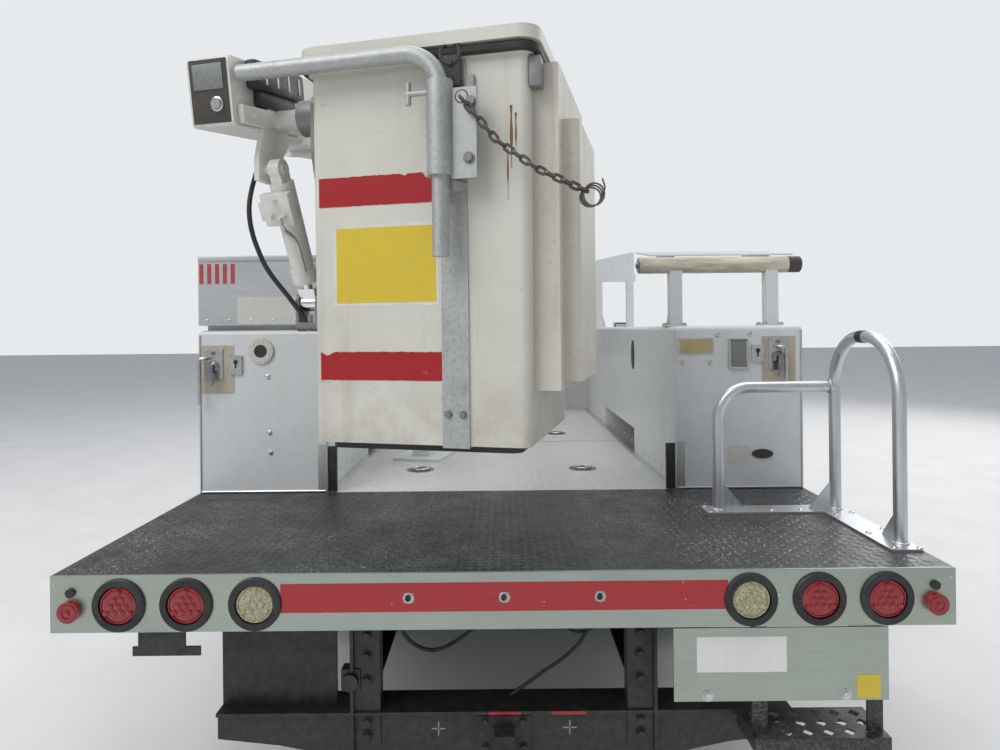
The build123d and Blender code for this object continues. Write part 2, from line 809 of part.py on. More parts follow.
def fender_form(side, inset):
    """Return one front fender's closed form, moved inwards by inset."""
    with BuildPart() as form:
        inner_front = hood_half_front + panel_gap
        inner_rear = hood_half_rear + 2.5 * panel_gap
        with BuildSketch(Plane.YZ.offset(-body_half)):
            with BuildLine():
                Polyline(
                    (cowl_y + panel_gap + inset, fender_low_z - inset * 4),
                    (cowl_y + panel_gap + inset, fender_top_rear_z - inset),
                    (fender_front_y - inset, fender_top_front_z - inset),
                    (fender_front_y - inset, fender_low_z - inset * 4),
                    close=True,
                )
            make_face()
        extrude(amount=2 * body_half)
        with BuildSketch(Plane.XY.offset(-10)):
            with BuildLine():
                Polyline(
                    (side * (inner_rear - inset * 2), cowl_y),
                    (side * (fender_half - inset), cowl_y),
                    (side * (fender_half - inset), fender_front_y - 260),
                    (side * (fender_half - 60 - inset), fender_front_y),
                    (side * (inner_front - inset * 2), fender_front_y),
                    close=True,
                )
            make_face()
        extrude(amount=1600, mode=Mode.INTERSECT)
    return form.part


# Front fenders: skins with a wheel arch, a flare round it and a liner behind it
with BuildPart() as front_fenders:
    for side in (-1, 1):
        skin = fender_form(side, 0) - fender_form(side, fender_wall)
        add(skin)
    with Locations(Location((0, front_axle_y, tyre_radius), (0, 90, 0))):
        Cylinder(arch_radius_front, 2 * body_half, mode=Mode.SUBTRACT)
    for side in (-1, 1):
        flare_span = sorted((side * (fender_half - fender_wall), side * flare_half))
        liner_span = sorted((side * liner_inner_x, side * (fender_half - 2)))
        for span, thick in ((flare_span, flare_band), (liner_span, 12)):
            with BuildSketch(Plane.YZ.offset(span[0])):
                with Locations((front_axle_y, tyre_radius)):
                    Circle(arch_radius_front + thick)
                    Circle(arch_radius_front, mode=Mode.SUBTRACT)
                with Locations((front_axle_y, -100)):
                    Rectangle(2000, 2 * (fender_low_z + 100), mode=Mode.SUBTRACT)
            extrude(amount=span[1] - span[0])
front_fenders.part.label = "front_fenders"
export_step(front_fenders.part, "parts/front_fenders.step")

# Grille: a frame with level slats, on two posts that stand on the rails' front cross member
with BuildPart() as grille:
    grille_top_z = hood_front_z - hood_lip - seat_gap
    grille_y = (fender_front_y - 20, fender_front_y + 40)
    block((-grille_half, grille_half), grille_y, (grille_low_z, grille_top_z))
    block((-grille_half + 36, grille_half - 36), (grille_y[0] - 1, grille_y[1] + 1),
        (grille_low_z + 36, grille_top_z - 36),
          mode=Mode.SUBTRACT)
    slat_count = 5
    slat_pitch = (grille_top_z - grille_low_z - 72) / (slat_count + 1)
    for row in range(1, slat_count + 1):
        z = grille_low_z + 36 + row * slat_pitch
        block((-grille_half + 30, grille_half - 30), (grille_y[0] + 10, grille_y[1] - 12), (z - 11, z + 11))
    for side in (-1, 1):
        post = sorted((side * (rail_outer_x - rail_flange), side * rail_outer_x))
        block(post, (grille_y[0], grille_y[1] - 20), (rail_top_z + seat_gap, grille_low_z + 30))
        wing = sorted((side * (grille_half - 5), side * (fender_half - 60)))
        block(wing, (fender_front_y + seat_gap, fender_front_y + 20), (grille_low_z, 935))
grille.part.label = "grille"
export_step(grille.part, "parts/grille.step")

# Front bumper with bevelled ends, on brackets from the rails
with BuildPart() as front_bumper:
    with BuildSketch(Plane.XY.offset(bumper_low_z)) as outline:
        with BuildLine():
            Polyline(
                (-bumper_half, nose_y - bumper_depth - 60),
                (-bumper_half, nose_y - 110),
                (-bumper_half + 220, nose_y),
                (bumper_half - 220, nose_y),
                (bumper_half, nose_y - 110),
                (bumper_half, nose_y - bumper_depth - 60),
                (bumper_half - 240, nose_y - bumper_depth + 10),
                (-bumper_half + 240, nose_y - bumper_depth + 10),
                close=True,
            )
        make_face()
    extrude(amount=bumper_top_z - bumper_low_z)
    fillet(front_bumper.edges().filter_by(Axis.Z).group_by(Axis.Y)[-1], 60)
    block((-280, 280), (nose_y - 30, nose_y + 1), (bumper_low_z + 60, bumper_low_z + 130),
        mode=Mode.SUBTRACT)
    for side in (-1, 1):
        bracket = sorted((side * (rail_outer_x - rail_flange), side * rail_outer_x))
        block(bracket, (rail_front_y + seat_gap, nose_y - bumper_depth + 20),
            (rail_top_z - rail_height, bumper_top_z - 5))
front_bumper.part.label = "front_bumper"
export_step(front_bumper.part, "parts/front_bumper.step")

# Service body. Each side pack has three bays: name, rear and front end, low and high edge, hinge edge
well_rear_y = rear_axle_y - well_half
well_front_y = rear_axle_y + well_half
bays = (
    ("rear", rear_bay_y, well_rear_y - frame_face, bay_low_z, bay_top_z, "rear"),
    ("middle", well_rear_y, well_front_y, well_top_z + frame_face, bay_top_z, "low"),
    ("front", well_front_y + frame_face, front_bay_y, bay_low_z, bay_top_z, "front"),
)


def bay_hinge(rear, front, low, high, hinge):
    """Return where a bay door's hinge axis lies, and where its leaves start along it."""
    if hinge == "low":
        return low + door_gap, (rear + 150, front - 150 - 2 * leaf_long)
    return (rear + door_gap if hinge == "rear" else front - door_gap), (low + 120,
        high - 120 - 2 * leaf_long)


for side, name in ((-1, "left"), (1, "right")):
    box_span = sorted((side * box_inner_x, side * body_half))
    bay_span = sorted((side * (box_inner_x + box_wall), side * (body_half + 1)))
    well_span = sorted((side * (box_inner_x - 1), side * (body_half - box_wall)))
    with BuildPart() as side_box:
        block(box_span, (box_rear_y, box_front_y), (box_low_z, box_top_z))
        rims = side_box.faces().sort_by(Axis.Z)[-1].edges()
        fillet(rims, box_edge_radius)
        for bay, rear, front, low, high, hinge in bays:
            block(bay_span, (rear, front), (low, high), mode=Mode.SUBTRACT)
        block(well_span, (well_rear_y, well_front_y), (box_low_z - 1, well_top_z), mode=Mode.SUBTRACT)
        with Locations(Location((side * body_half, rear_axle_y, arch_centre_z), (0, 90, 0))):
            Cylinder(arch_radius_rear, 4 * box_wall, mode=Mode.SUBTRACT)
        for bay, rear, front, low, high, hinge in bays:
            if bay != "middle":
                shelf_x = sorted((side * (box_inner_x + box_wall), side * (body_half - 60)))
                shelf_z = (low + high) / 2
                block(shelf_x, (rear, front), (shelf_z - 3, shelf_z + 3))
        for bay, rear, front, low, high, hinge in bays:
            axis_at, starts = bay_hinge(rear, front, low, high, hinge)
            for start in starts:
                along = (start, start + leaf_long)
                hinge_leaf(side, hinge, bay_axis_x, axis_at, (-leaf_out, leaf_out), (-door_gap - 2, 0),
                    along)
                hinge_leaf(side, hinge, bay_axis_x, axis_at, (-5, leaf_out),
                    (-door_gap - 16, -door_gap - 1), along)
    side_box.part.label = f"side_box_{name}"
    export_step(side_box.part, f"parts/side_box_{name}.step")
    for bay, rear, front, low, high, hinge in bays:
        door_span = sorted((side * (body_half - door_thick), side * body_half))
        paddle_span = sorted((side * (body_half - 2), side * (body_half + 5)))
        lift_span = sorted((side * (body_half + 4), side * (body_half + 14)))
        latch_end = {"rear": front - 110, "low": (rear + front) / 2, "front": rear + 110}[hinge]
        latch_z = high - 90 if hinge == "low" else (low + high) / 2
        with BuildPart() as bay_door:
            block(door_span, (rear + door_gap, front - door_gap), (low + door_gap, high - door_gap))
            outside = bay_door.faces().sort_by(Axis.X)[-1 if side > 0 else 0]
            chamfer(outside.edges(), 4)
            inside_span = sorted((side * (body_half - door_thick - 1), side * (body_half - 6)))
            pan = 40
            block(inside_span, (rear + pan, front - pan), (low + pan, high - pan), mode=Mode.SUBTRACT)
            half_wide = paddle_width / 2
            half_high = paddle_height / 2
            block(paddle_span, (latch_end - half_wide, latch_end + half_wide),
                (latch_z - half_high, latch_z + half_high))
            block(lift_span, (latch_end - 38, latch_end + 38), (latch_z - 22, latch_z + 8))
            axis_at, starts = bay_hinge(rear, front, low, high, hinge)
            for start in starts:
                along = (start + leaf_long + seat_gap, start + 2 * leaf_long)
                hinge_leaf(side, hinge, bay_axis_x, axis_at, (-leaf_out, leaf_out), (-leaf_out, 6), along)
                hinge_leaf(side, hinge, bay_axis_x, axis_at, (-5, leaf_out), (5, 24), along)
        bay_door.part.label = f"bay_door_{bay}_{name}"
        export_step(bay_door.part, f"parts/bay_door_{bay}_{name}.step")

# Cargo floor with its sills, and the front bulkhead
floor_half = box_inner_x - seat_gap
with BuildPart() as cargo_floor:
    block((-floor_half, floor_half), (box_rear_y, box_front_y), (deck_z - deck_thick, deck_z))
    block((-floor_half, floor_half), (box_front_y - bulkhead_thick, box_front_y),
        (deck_z + seat_gap, bulkhead_top_z))
    for side in (-1, 1):
        sill = sorted((side * (rail_outer_x - rail_flange), side * rail_outer_x))
        block(sill, (box_rear_y, box_front_y), (rail_top_z + seat_gap, sill_top_z))
    for row in range(9):
        y = box_rear_y + 60 + row * (body_length - 120) / 8
        block((-floor_half, floor_half), (y - 25, y + 25), (sill_top_z, deck_z - deck_thick))
cargo_floor.part.label = "cargo_floor"
export_step(cargo_floor.part, "parts/cargo_floor.step")

# Tail shelf: a tread-plate deck with side skirts, joists and sills on the rails
shelf_front_y = box_rear_y - seat_gap
board_front_y = tail_y + board_thick
with BuildPart() as tail_deck:
    block((-body_half, body_half), (board_front_y, shelf_front_y), (deck_z - deck_thick, deck_z))
    for side in (-1, 1):
        skirt = sorted((side * (body_half - 5), side * body_half))
        block(skirt, (board_front_y, shelf_front_y), (deck_z - 120, deck_z - deck_thick))
        sill = sorted((side * (rail_outer_x - rail_flange), side * rail_outer_x))
        block(sill, (rail_rear_y, shelf_front_y), (rail_top_z + seat_gap, sill_top_z))
    for row in range(4):
        y = board_front_y + 40 + row * (shelf_depth - 120) / 3
        block((-body_half + 5, body_half - 5), (y - 20, y + 20), (sill_top_z, deck_z - deck_thick))
tail_deck.part.label = "tail_deck"
export_step(tail_deck.part, "parts/tail_deck.step")

# Tail board with its lamp and marker holes
lamp_row = (-1013, -835, -654, 654, 835, 1013)
clear_row = (-654, 654)
marker_x = 1140
marker_z = deck_z - 91
dot_z = deck_z - 44
id_row = (-253, 0, 253)
id_z = deck_z - 66
with BuildPart() as tail_board:
    block((-body_half, body_half), (tail_y, board_front_y - seat_gap), (deck_z - board_height, deck_z))
    with BuildSketch(Plane.XZ.offset(-tail_y - board_thick)):
        with Locations([(x, lamp_z) for x in lamp_row]):
            Circle(grommet_radius - 9)
        with Locations([(x, id_z) for x in id_row]):
            Circle(10)
    extrude(amount=2 * board_thick, mode=Mode.SUBTRACT)
tail_board.part.label = "tail_board"
export_step(tail_board.part, "parts/tail_board.step")


def turned_along_y(places, profile):
    """Return round pieces that face the rear, each turned from a profile of radius and depth."""
    with BuildPart() as turned:
        for x, z in places:
            with BuildSketch(Plane.YZ.offset(x)):
                with BuildLine():
                    Polyline([(tail_y + depth, z + radius) for radius, depth in profile], close=True)
                make_face()
            revolve(axis=Axis((x, tail_y, z), (0, 1, 0)))
    return turned.part


grommet_profile = (
    (lamp_radius + 0.5, -8),
    (grommet_radius - 3, -8),
    (grommet_radius, -5),
    (grommet_radius, -seat_gap),
    (grommet_radius - 9 - seat_gap, -seat_gap),
    (grommet_radius - 9 - seat_gap, grommet_depth),
    (lamp_radius + 0.5, grommet_depth),
)
lens_profile = ((0, -7), (lamp_radius - 14, -6), (lamp_radius - 2, -2), (lamp_radius + 0.2, 2),
    (lamp_radius + 0.2, 20), (0, 20))
with BuildPart() as lamp_grommets:
    add(turned_along_y([(x, lamp_z) for x in lamp_row], grommet_profile))
lamp_grommets.part.label = "lamp_grommets"
export_step(lamp_grommets.part, "parts/lamp_grommets.step")

with BuildPart() as red_lamps:
    add(turned_along_y([(x, lamp_z) for x in lamp_row if x not in clear_row], lens_profile))
    for x in (-marker_x, marker_x):
        for z, radius, depth in ((marker_z, marker_radius, 16), (dot_z, 12, 6)):
            with Locations(Location((x, tail_y - seat_gap - depth / 2, z), (90, 0, 0))):
                Cylinder(radius, depth)
red_lamps.part.label = "red_lamps"
export_step(red_lamps.part, "parts/red_lamps.step")

# Clear lamps: the two reversing lamps and the two headlamps
with BuildPart() as clear_lamps:
    add(turned_along_y([(x, lamp_z) for x in clear_row], lens_profile))
    for side in (-1, 1):
        with BuildSketch(Plane.XZ.offset(-(fender_front_y + seat_gap + 48))) as outline:
            with BuildLine():
                Polyline(
                    (side * (grille_half + 8), 960),
                    (side * (fender_half - 70), 975),
                    (side * (fender_half - 50), 1100),
                    (side * (grille_half + 8), 1116),
                    close=True,
                )
            make_face()
            fillet(outline.vertices(), 18)
        extrude(amount=48)
clear_lamps.part.label = "clear_lamps"
export_step(clear_lamps.part, "parts/clear_lamps.step")

# Hitch beam under the tail, with its frame-end plates, top lip, flap and empty plate holder
with BuildPart() as hitch_beam:
    with BuildSketch(Plane.XZ.offset(-hitch_rear_y)):
        with BuildLine():
            Polyline(
                (-hitch_half, hitch_low_z + 60),
                (-hitch_half + 180, hitch_low_z + 40),
                (-rail_outer_x - 20, hitch_low_z),
                (rail_outer_x + 20, hitch_low_z),
                (hitch_half - 180, hitch_low_z + 40),
                (hitch_half, hitch_low_z + 60),
                (hitch_half, hitch_top_z),
                (-hitch_half, hitch_top_z),
                close=True,
            )
        make_face()
    extrude(amount=-(hitch_front_y - hitch_rear_y))
    block((-hitch_half, hitch_half), (hitch_rear_y - 14, hitch_front_y), (hitch_top_z, hitch_top_z + 10))
    for side in (-1, 1):
        plate = sorted((side * (rail_outer_x - rail_flange), side * rail_outer_x))
        block(plate, (hitch_rear_y - 6, rail_rear_y - seat_gap), (hitch_low_z + 40, rail_top_z))
        cheek = sorted((side * (rail_outer_x + seat_gap), side * (rail_outer_x + 10)))
        block(cheek, (rail_rear_y - 60, rail_rear_y + 260), (hitch_low_z + 20, rail_top_z - 10))
    block((-hitch_half, -rail_outer_x - 60), (hitch_rear_y + 40, hitch_rear_y + 48),
        (hitch_top_z, deck_z - 130))
    tray_x = (-hitch_half, -rail_outer_x - 60)
    block(tray_x, (hitch_rear_y + 40, hitch_rear_y + 200), (deck_z - 130, sill_top_z - seat_gap))
    holder_y = (tail_y + 12, tail_y + 18)
    board_low_z = deck_z - board_height
    block((-985, -805), holder_y, (board_low_z - 68, board_low_z - 44))
    block((-970, -845), holder_y, (board_low_z - 48, board_low_z + 2))
    block((-945, -903), (tail_y + 12, tail_y + 18), (deck_z - board_height, deck_z - 90))
    block((-945, -903), (board_front_y + seat_gap, tail_y + 18), (deck_z - 100, deck_z - 90))
hitch_beam.part.label = "hitch_beam"
export_step(hitch_beam.part, "parts/hitch_beam.step")

# Pintle hook on the beam, and the two safety-chain loops under it
with BuildPart() as pintle_hook:
    block((-75, 75), (hitch_rear_y - 12, hitch_rear_y - seat_gap), (hitch_low_z + 20, hitch_top_z - 4))
    block((-28, 28), (hitch_rear_y - 70, hitch_rear_y - 11), (hitch_low_z + 40, hitch_low_z + 100))
    with BuildLine() as hook_line:
        FilletPolyline(
            (0, hitch_rear_y - 55, hitch_low_z + 55),
            (0, hitch_rear_y - 80, hitch_low_z - 15),
            (0, hitch_rear_y - 145, hitch_low_z - 15),
            (0, hitch_rear_y - 150, hitch_low_z + 50),
            radius=26,
        )
    with BuildSketch(Plane(origin=hook_line.line @ 0, z_dir=hook_line.line % 0)):
        Circle(17)
    sweep()
    for side in (-1, 1):
        x = side * 215
        with BuildLine() as loop_line:
            Line((x - 38, hitch_rear_y + 50, hitch_low_z - seat_gap),
                (x - 38, hitch_rear_y + 50, hitch_low_z - 20))
            ThreePointArc(
                (x - 38, hitch_rear_y + 50, hitch_low_z - 20),
                (x, hitch_rear_y + 50, hitch_low_z - 58),
                (x + 38, hitch_rear_y + 50, hitch_low_z - 20),
            )
            Line((x + 38, hitch_rear_y + 50, hitch_low_z - 20),
                (x + 38, hitch_rear_y + 50, hitch_low_z - seat_gap))
        with BuildSketch(Plane(origin=loop_line.line @ 0, z_dir=loop_line.line % 0)):
            Circle(9)
        sweep()
pintle_hook.part.label = "pintle_hook"
export_step(pintle_hook.part, "parts/pintle_hook.step")

# Blank aluminium panel that hangs under the tail, and the grip-strut step below it
joist_low_z = sill_top_z - seat_gap
with BuildPart() as step_panel:
    block(step_panel_span, (tail_y + 25, tail_y + 30), step_panel_z)
    for x in (step_panel_span[0] + 80, step_panel_span[1] - 80):
        block((x - 20, x + 20), (tail_y + 30, tail_y + 42), (step_panel_z[0] + 60, joist_low_z))
step_panel.part.label = "step_panel"
export_step(step_panel.part, "parts/step_panel.step")

with BuildPart() as rear_step:
    tread_y = (tail_y + 5, tail_y + 5 + step_tread_depth)
    inner_x = (step_tread_span[0] + 5, step_tread_span[1] - 5)
    block(step_tread_span, tread_y, (step_tread_z - step_tread_tall, step_tread_z))
    block(
        inner_x,
        (tread_y[0] + 5, tread_y[1] - 5),
        (step_tread_z - step_tread_tall - 1, step_tread_z - 5),
        mode=Mode.SUBTRACT,
    )
    with BuildSketch(Plane.XY.offset(step_tread_z - 6)):
        with Locations((sum(step_tread_span) / 2, sum(tread_y) / 2)):
            with GridLocations(56, 44, 6, 3):
                RegularPolygon(17, 4)
    extrude(amount=10, mode=Mode.SUBTRACT)
    for x in (step_tread_span[0] + 26, step_tread_span[1] - 22):
        block((x - 21, x + 21), (tail_y + 44, tail_y + 52), (step_tread_z - step_tread_tall, joist_low_z))
rear_step.part.label = "rear_step"
export_step(rear_step.part, "parts/rear_step.step")

# Handrail: bent tube with a low rail and a hoop, on an L-shaped base plate with gussets
plate_top_z = deck_z + 7
with BuildPart() as handrail:
    runs = (
        [
            (handrail_inner_x, handrail_front_y, plate_top_z - 2),
            (handrail_inner_x, handrail_front_y, handrail_low_z),
            (handrail_outer_x, handrail_front_y, handrail_low_z),
        ],
        [
            (handrail_outer_x, handrail_front_y, plate_top_z - 2),
            (handrail_outer_x, handrail_front_y, handrail_top_z),
            (handrail_outer_x, handrail_rear_y, handrail_top_z),
            (handrail_outer_x, handrail_rear_y, plate_top_z - 2),
        ],
    )
    for points, bend in zip(runs, (110, 175)):
        with BuildLine() as tube_line:
            FilletPolyline(*points, radius=bend)
        with BuildSketch(Plane(origin=points[0], z_dir=(0, 0, 1))):
            Circle(handrail_radius)
        sweep()
    plate_z = (deck_z + seat_gap, plate_top_z)
    block((handrail_inner_x - 50, body_half - 5), (handrail_front_y - 45, handrail_front_y + 45), plate_z)
    block((handrail_outer_x - 60, body_half - 5), (handrail_rear_y - 60, handrail_front_y - 40), plate_z)
    for x, y, step_x, step_y in (
        (handrail_inner_x, handrail_front_y, 95, 0),
        (handrail_outer_x, handrail_front_y, -95, 0),
        (handrail_outer_x, handrail_rear_y, 0, 95),
    ):
        foot = Plane(origin=(x, y, plate_top_z - 1), x_dir=(step_x, step_y, 0), z_dir=(-step_y, step_x, 0))
        up = 1 if foot.y_dir.Z > 0 else -1
        with BuildSketch(foot.offset(-3)):
            with BuildLine():
                Polyline((handrail_radius - 3, 0), (95, 0), (handrail_radius - 3, up * 95), close=True)
            make_face()
        extrude(amount=6)
handrail.part.label = "handrail"
export_step(handrail.part, "parts/handrail.step")

# Closed aluminium box on the left side pack, on cross feet
with BuildPart() as top_box:
    box_x = (-body_half, -box_inner_x - 2)
    block(box_x, (box_rear_y, box_rear_y + top_box_length), (top_box_low_z, top_box_top_z))
    for row in range(4):
        y = box_rear_y + 60 + row * (top_box_length - 120) / 3
        block((-body_half + 20, -box_inner_x - 20), (y - 20, y + 20), (box_top_z + seat_gap, top_box_low_z))
top_box.part.label = "top_box"
export_step(top_box.part, "parts/top_box.step")

# Rack on the right side pack: a rear frame with a roller and tray, and a front frame with a guard
with BuildPart() as ladder_rack:
    rack_foot_z = box_top_z + seat_gap
    for x in (735, 1135):
        block((x - rack_post / 2, x + rack_post / 2), (roller_y - 25, roller_y + 25),
            (rack_foot_z, roller_z))
        block((x - rack_post / 2 - 20, x + rack_post / 2 + 14), (roller_y - 45, roller_y + 45),
            (rack_foot_z, rack_foot_z + 6))
        with BuildSketch(Plane.YZ.offset(x - 3)):
            with BuildLine():
                Polyline((roller_y, roller_z + 20), (roller_y + 20, roller_z + 45),
                    (roller_y + 330, roller_z + 88),
                         (roller_y + 330, roller_z + 70), (roller_y + 24, roller_z - 40), close=True)
            make_face()
        extrude(amount=6)
    cross_rod(roller_radius, roller_span, roller_y, roller_z)
    with BuildSketch(Plane.YZ.offset(roller_span[0] + 50)):
        with BuildLine():
            Polyline((roller_y + 10, roller_z + 40), (roller_y + 330, roller_z + 86),
                     (roller_y + 330, roller_z + 92), (roller_y + 10, roller_z + 46), close=True)
        make_face()
    extrude(amount=roller_span[1] - roller_span[0] - 70)
    with BuildSketch(Plane.XZ.offset(-roller_y)):
        with BuildLine():
            Polyline((712, rack_foot_z), (650 + 46, rack_foot_z), (712, rack_foot_z + 90), close=True)
        make_face()
    extrude(amount=3, both=True)
    bar_low_z = 1985
    bar_top_z = 2040
    for x in (745, 978):
        block((x - 25, x + 25), (front_rack_y - 25, front_rack_y + 25), (rack_foot_z, bar_low_z + 5))
    block((695, 1020), (front_rack_y - 22, front_rack_y + 22), (bar_low_z, bar_top_z))
    with BuildSketch(Plane.XZ.offset(-front_rack_y)):
        with BuildLine():
            Polyline((700, bar_top_z - 2), (1012, bar_top_z - 2), (1012, 2198), (1000, 2205),
                (700, 2141), close=True)
        make_face()
    extrude(amount=4, both=True)
ladder_rack.part.label = "ladder_rack"
export_step(ladder_rack.part, "parts/ladder_rack.step")

# Rear faces of the side packs: latch plates, key covers, outlet cover, vent port and bent rod handles
face_y = box_rear_y - seat_gap
plates = (
    ("left latch plate", -1174, -1099, 1450, 1573, 5),
    ("left key cover", -1071, -1023, 1470, 1545, 8),
    ("right latch plate", 1061, 1136, 1470, 1596, 5),
    ("right key cover", 993, 1041, 1500, 1568, 8),
    ("right outlet cover", 902, 978, 1474, 1592, 12),
    ("right blank plate", 704, 843, 1533, 1596, 3),
)
with BuildPart() as box_latches:
    for plate, x_low, x_high, z_low, z_high, depth in plates:
        block((x_low, x_high), (face_y - depth, face_y), (z_low, z_high))
    with Locations(Location((-948, face_y - 4, 1561), (90, 0, 0))):
        Cylinder(50, 8)
    with Locations(Location((-948, face_y - 8, 1561), (90, 0, 0))):
        Cylinder(20, 6, mode=Mode.SUBTRACT)
    for x, turn, low, high in ((-1180, 1, 1355, 1535), (1118, -1, 1412, 1560)):
        with BuildLine() as rod_line:
            FilletPolyline(
                (x + turn * 30, face_y - 4, high),
                (x + turn * 30, face_y - 34, high),
                (x, face_y - 34, high),
                (x, face_y - 34, low),
                radius=12,
            )
        with BuildSketch(Plane(origin=rod_line.line @ 0, z_dir=rod_line.line % 0)):
            Circle(7)
        sweep()
box_latches.part.label = "box_latches"
export_step(box_latches.part, "parts/box_latches.step")

# Frame of the aerial device: u to its right, v forward from the turret's axis
turret_at = Location((0, turret_y, 0), (0, 0, slew_rest))


def aerial_point(u, v, z):
    """Return a point of the aerial's frame in the truck's frame."""
    return (turret_at * Location((u, v, z))).position


def aerial_side(u):
    """Return the upright plane along the aerial at u, whose own axes are v and z."""
    return Plane(turret_at * Plane.YZ.offset(u).location)


def aerial_level(z):
    """Return the level plane at z, whose own axes are u and v."""
    return Plane(turret_at * Plane.XY.offset(z).location)


def polar_step(start, length, angle):
    """Return the point at a length and an angle in degrees from a start, in the v and z plane."""
    return (start[0] + length * cos(radians(angle)), start[1] + length * sin(radians(angle)))


def placed(place, along, across):
    """Return the v and z of a point that is given in a place of the v and z plane."""
    point = (place * Location((along, across, 0))).position
    return (point.X, point.Y)


def boom_point(s, rise):
    """Return v and z of a point at s from the elbow along the boom and rise above its axis."""
    along = polar_step((elbow_v, elbow_z), s, 180 + boom_dip)
    return polar_step(along, rise, 90 + boom_dip)


arm_pivot = (arm_pivot_v, arm_pivot_z)
link_pivot = (arm_pivot_v + link_offset_v, arm_pivot_z + link_offset_z)
arm_end = polar_step(arm_pivot, arm_length, arm_rest)
link_end = polar_step(link_pivot, arm_length, arm_rest)
elbow = (elbow_v, elbow_z)
arm_ram_end = polar_step(polar_step(arm_pivot, arm_ram_reach, arm_rest), arm_ram_drop, arm_rest - 90)
boom_ram_end = boom_point(boom_ram_reach, -boom_ram_drop)
shaft_at = boom_point(platform_shaft_s, -platform_shaft_drop)
level_ram_base = (shaft_at[0] + level_ram_up[0], shaft_at[1] + level_ram_up[1])
level_ram_end = (shaft_at[0] + level_ram_low[0], shaft_at[1] + level_ram_low[1])

# Pedestal on the cargo floor, and the boom's rest with its pad
with BuildPart() as pedestal:
    block((-300, 300), (turret_y - 300, turret_y + 300), (deck_z + seat_gap, deck_z + 20))
    column_height = turret_base_z - 30 - deck_z - 20
    with Locations((0, turret_y, deck_z + 20 + column_height / 2)):
        Cylinder(190, column_height)
    with Locations((0, turret_y, turret_base_z - 15)):
        Cylinder(245, 30)
    for turn in range(8):
        gusset = Plane(Location((0, turret_y, 0), (0, 0, 22.5 + 45 * turn)) * Plane.XZ.location)
        with BuildSketch(gusset.offset(-6)):
            with BuildLine():
                Polyline((180, deck_z + 18), (290, deck_z + 18), (290, deck_z + 50),
                    (180, deck_z + 300), close=True)
            make_face()
        extrude(amount=12)
    rest_at = aerial_point(0, boom_rest_v, 0)
    rest_pad_z = boom_point((elbow_v - boom_rest_v + 40) / cos(radians(boom_dip)), -boom_height / 2)[1] - 6
    rest_plane = aerial_level(deck_z + seat_gap)
    with BuildSketch(rest_plane):
        with Locations((0, boom_rest_v)):
            Rectangle(240, 240)
    extrude(amount=12)
    with BuildSketch(rest_plane):
        with Locations((0, boom_rest_v)):
            Rectangle(90, 90)
    extrude(amount=rest_pad_z - 40 - deck_z)
    with BuildSketch(aerial_level(rest_pad_z - 45)):
        with Locations((0, boom_rest_v)):
            Rectangle(230, 70)
    extrude(amount=45)
pedestal.part.label = "pedestal"
export_step(pedestal.part, "parts/pedestal.step")

# Turret: a turntable with two cheeks that carry the arm, the link and the arm's cylinder
with BuildPart() as turret:
    with BuildSketch(aerial_level(turret_base_z + seat_gap)):
        Circle(235)
    extrude(amount=38)
    for side in (-1, 1):
        low_u = min(side * cheek_inner, side * cheek_outer)
        with BuildSketch(aerial_side(low_u)) as cheek:
            with BuildLine():
                Polyline(
                    (-210, turret_base_z + 30),
                    (210, turret_base_z + 30),
                    (200, 1780),
                    (arm_pivot_v + 75, arm_pivot_z - 30),
                    (arm_pivot_v + 75, arm_pivot_z + 30),
                    (link_pivot[0] + 60, link_pivot[1] + 40),
                    (link_pivot[0] - 45, link_pivot[1] + 45),
                    (link_pivot[0] - 70, link_pivot[1] - 60),
                    (-250, 1750),
                    close=True,
                )
            make_face()
            fillet(cheek.vertices().group_by(Axis.Y)[-1], 25)
        extrude(amount=cheek_outer - cheek_inner)
    with BuildSketch(aerial_side(-cheek_inner)):
        with BuildLine():
            Polyline(
                (-225, turret_base_z + 30),
                (-205, turret_base_z + 30),
                (-235, 1750),
                (-250, 2300),
                (-268, 2300),
                (-250, 1750),
                close=True,
            )
        make_face()
    extrude(amount=2 * cheek_inner)
    for place, radius in ((arm_pivot, arm_pin), (link_pivot, link_pin), (arm_ram_base, ram_pin)):
        with BuildSketch(aerial_side(-cheek_outer - 12)):
            with Locations(place):
                Circle(radius)
        extrude(amount=2 * cheek_outer + 24)
turret.part.label = "turret"
export_step(turret.part, "parts/turret.step")

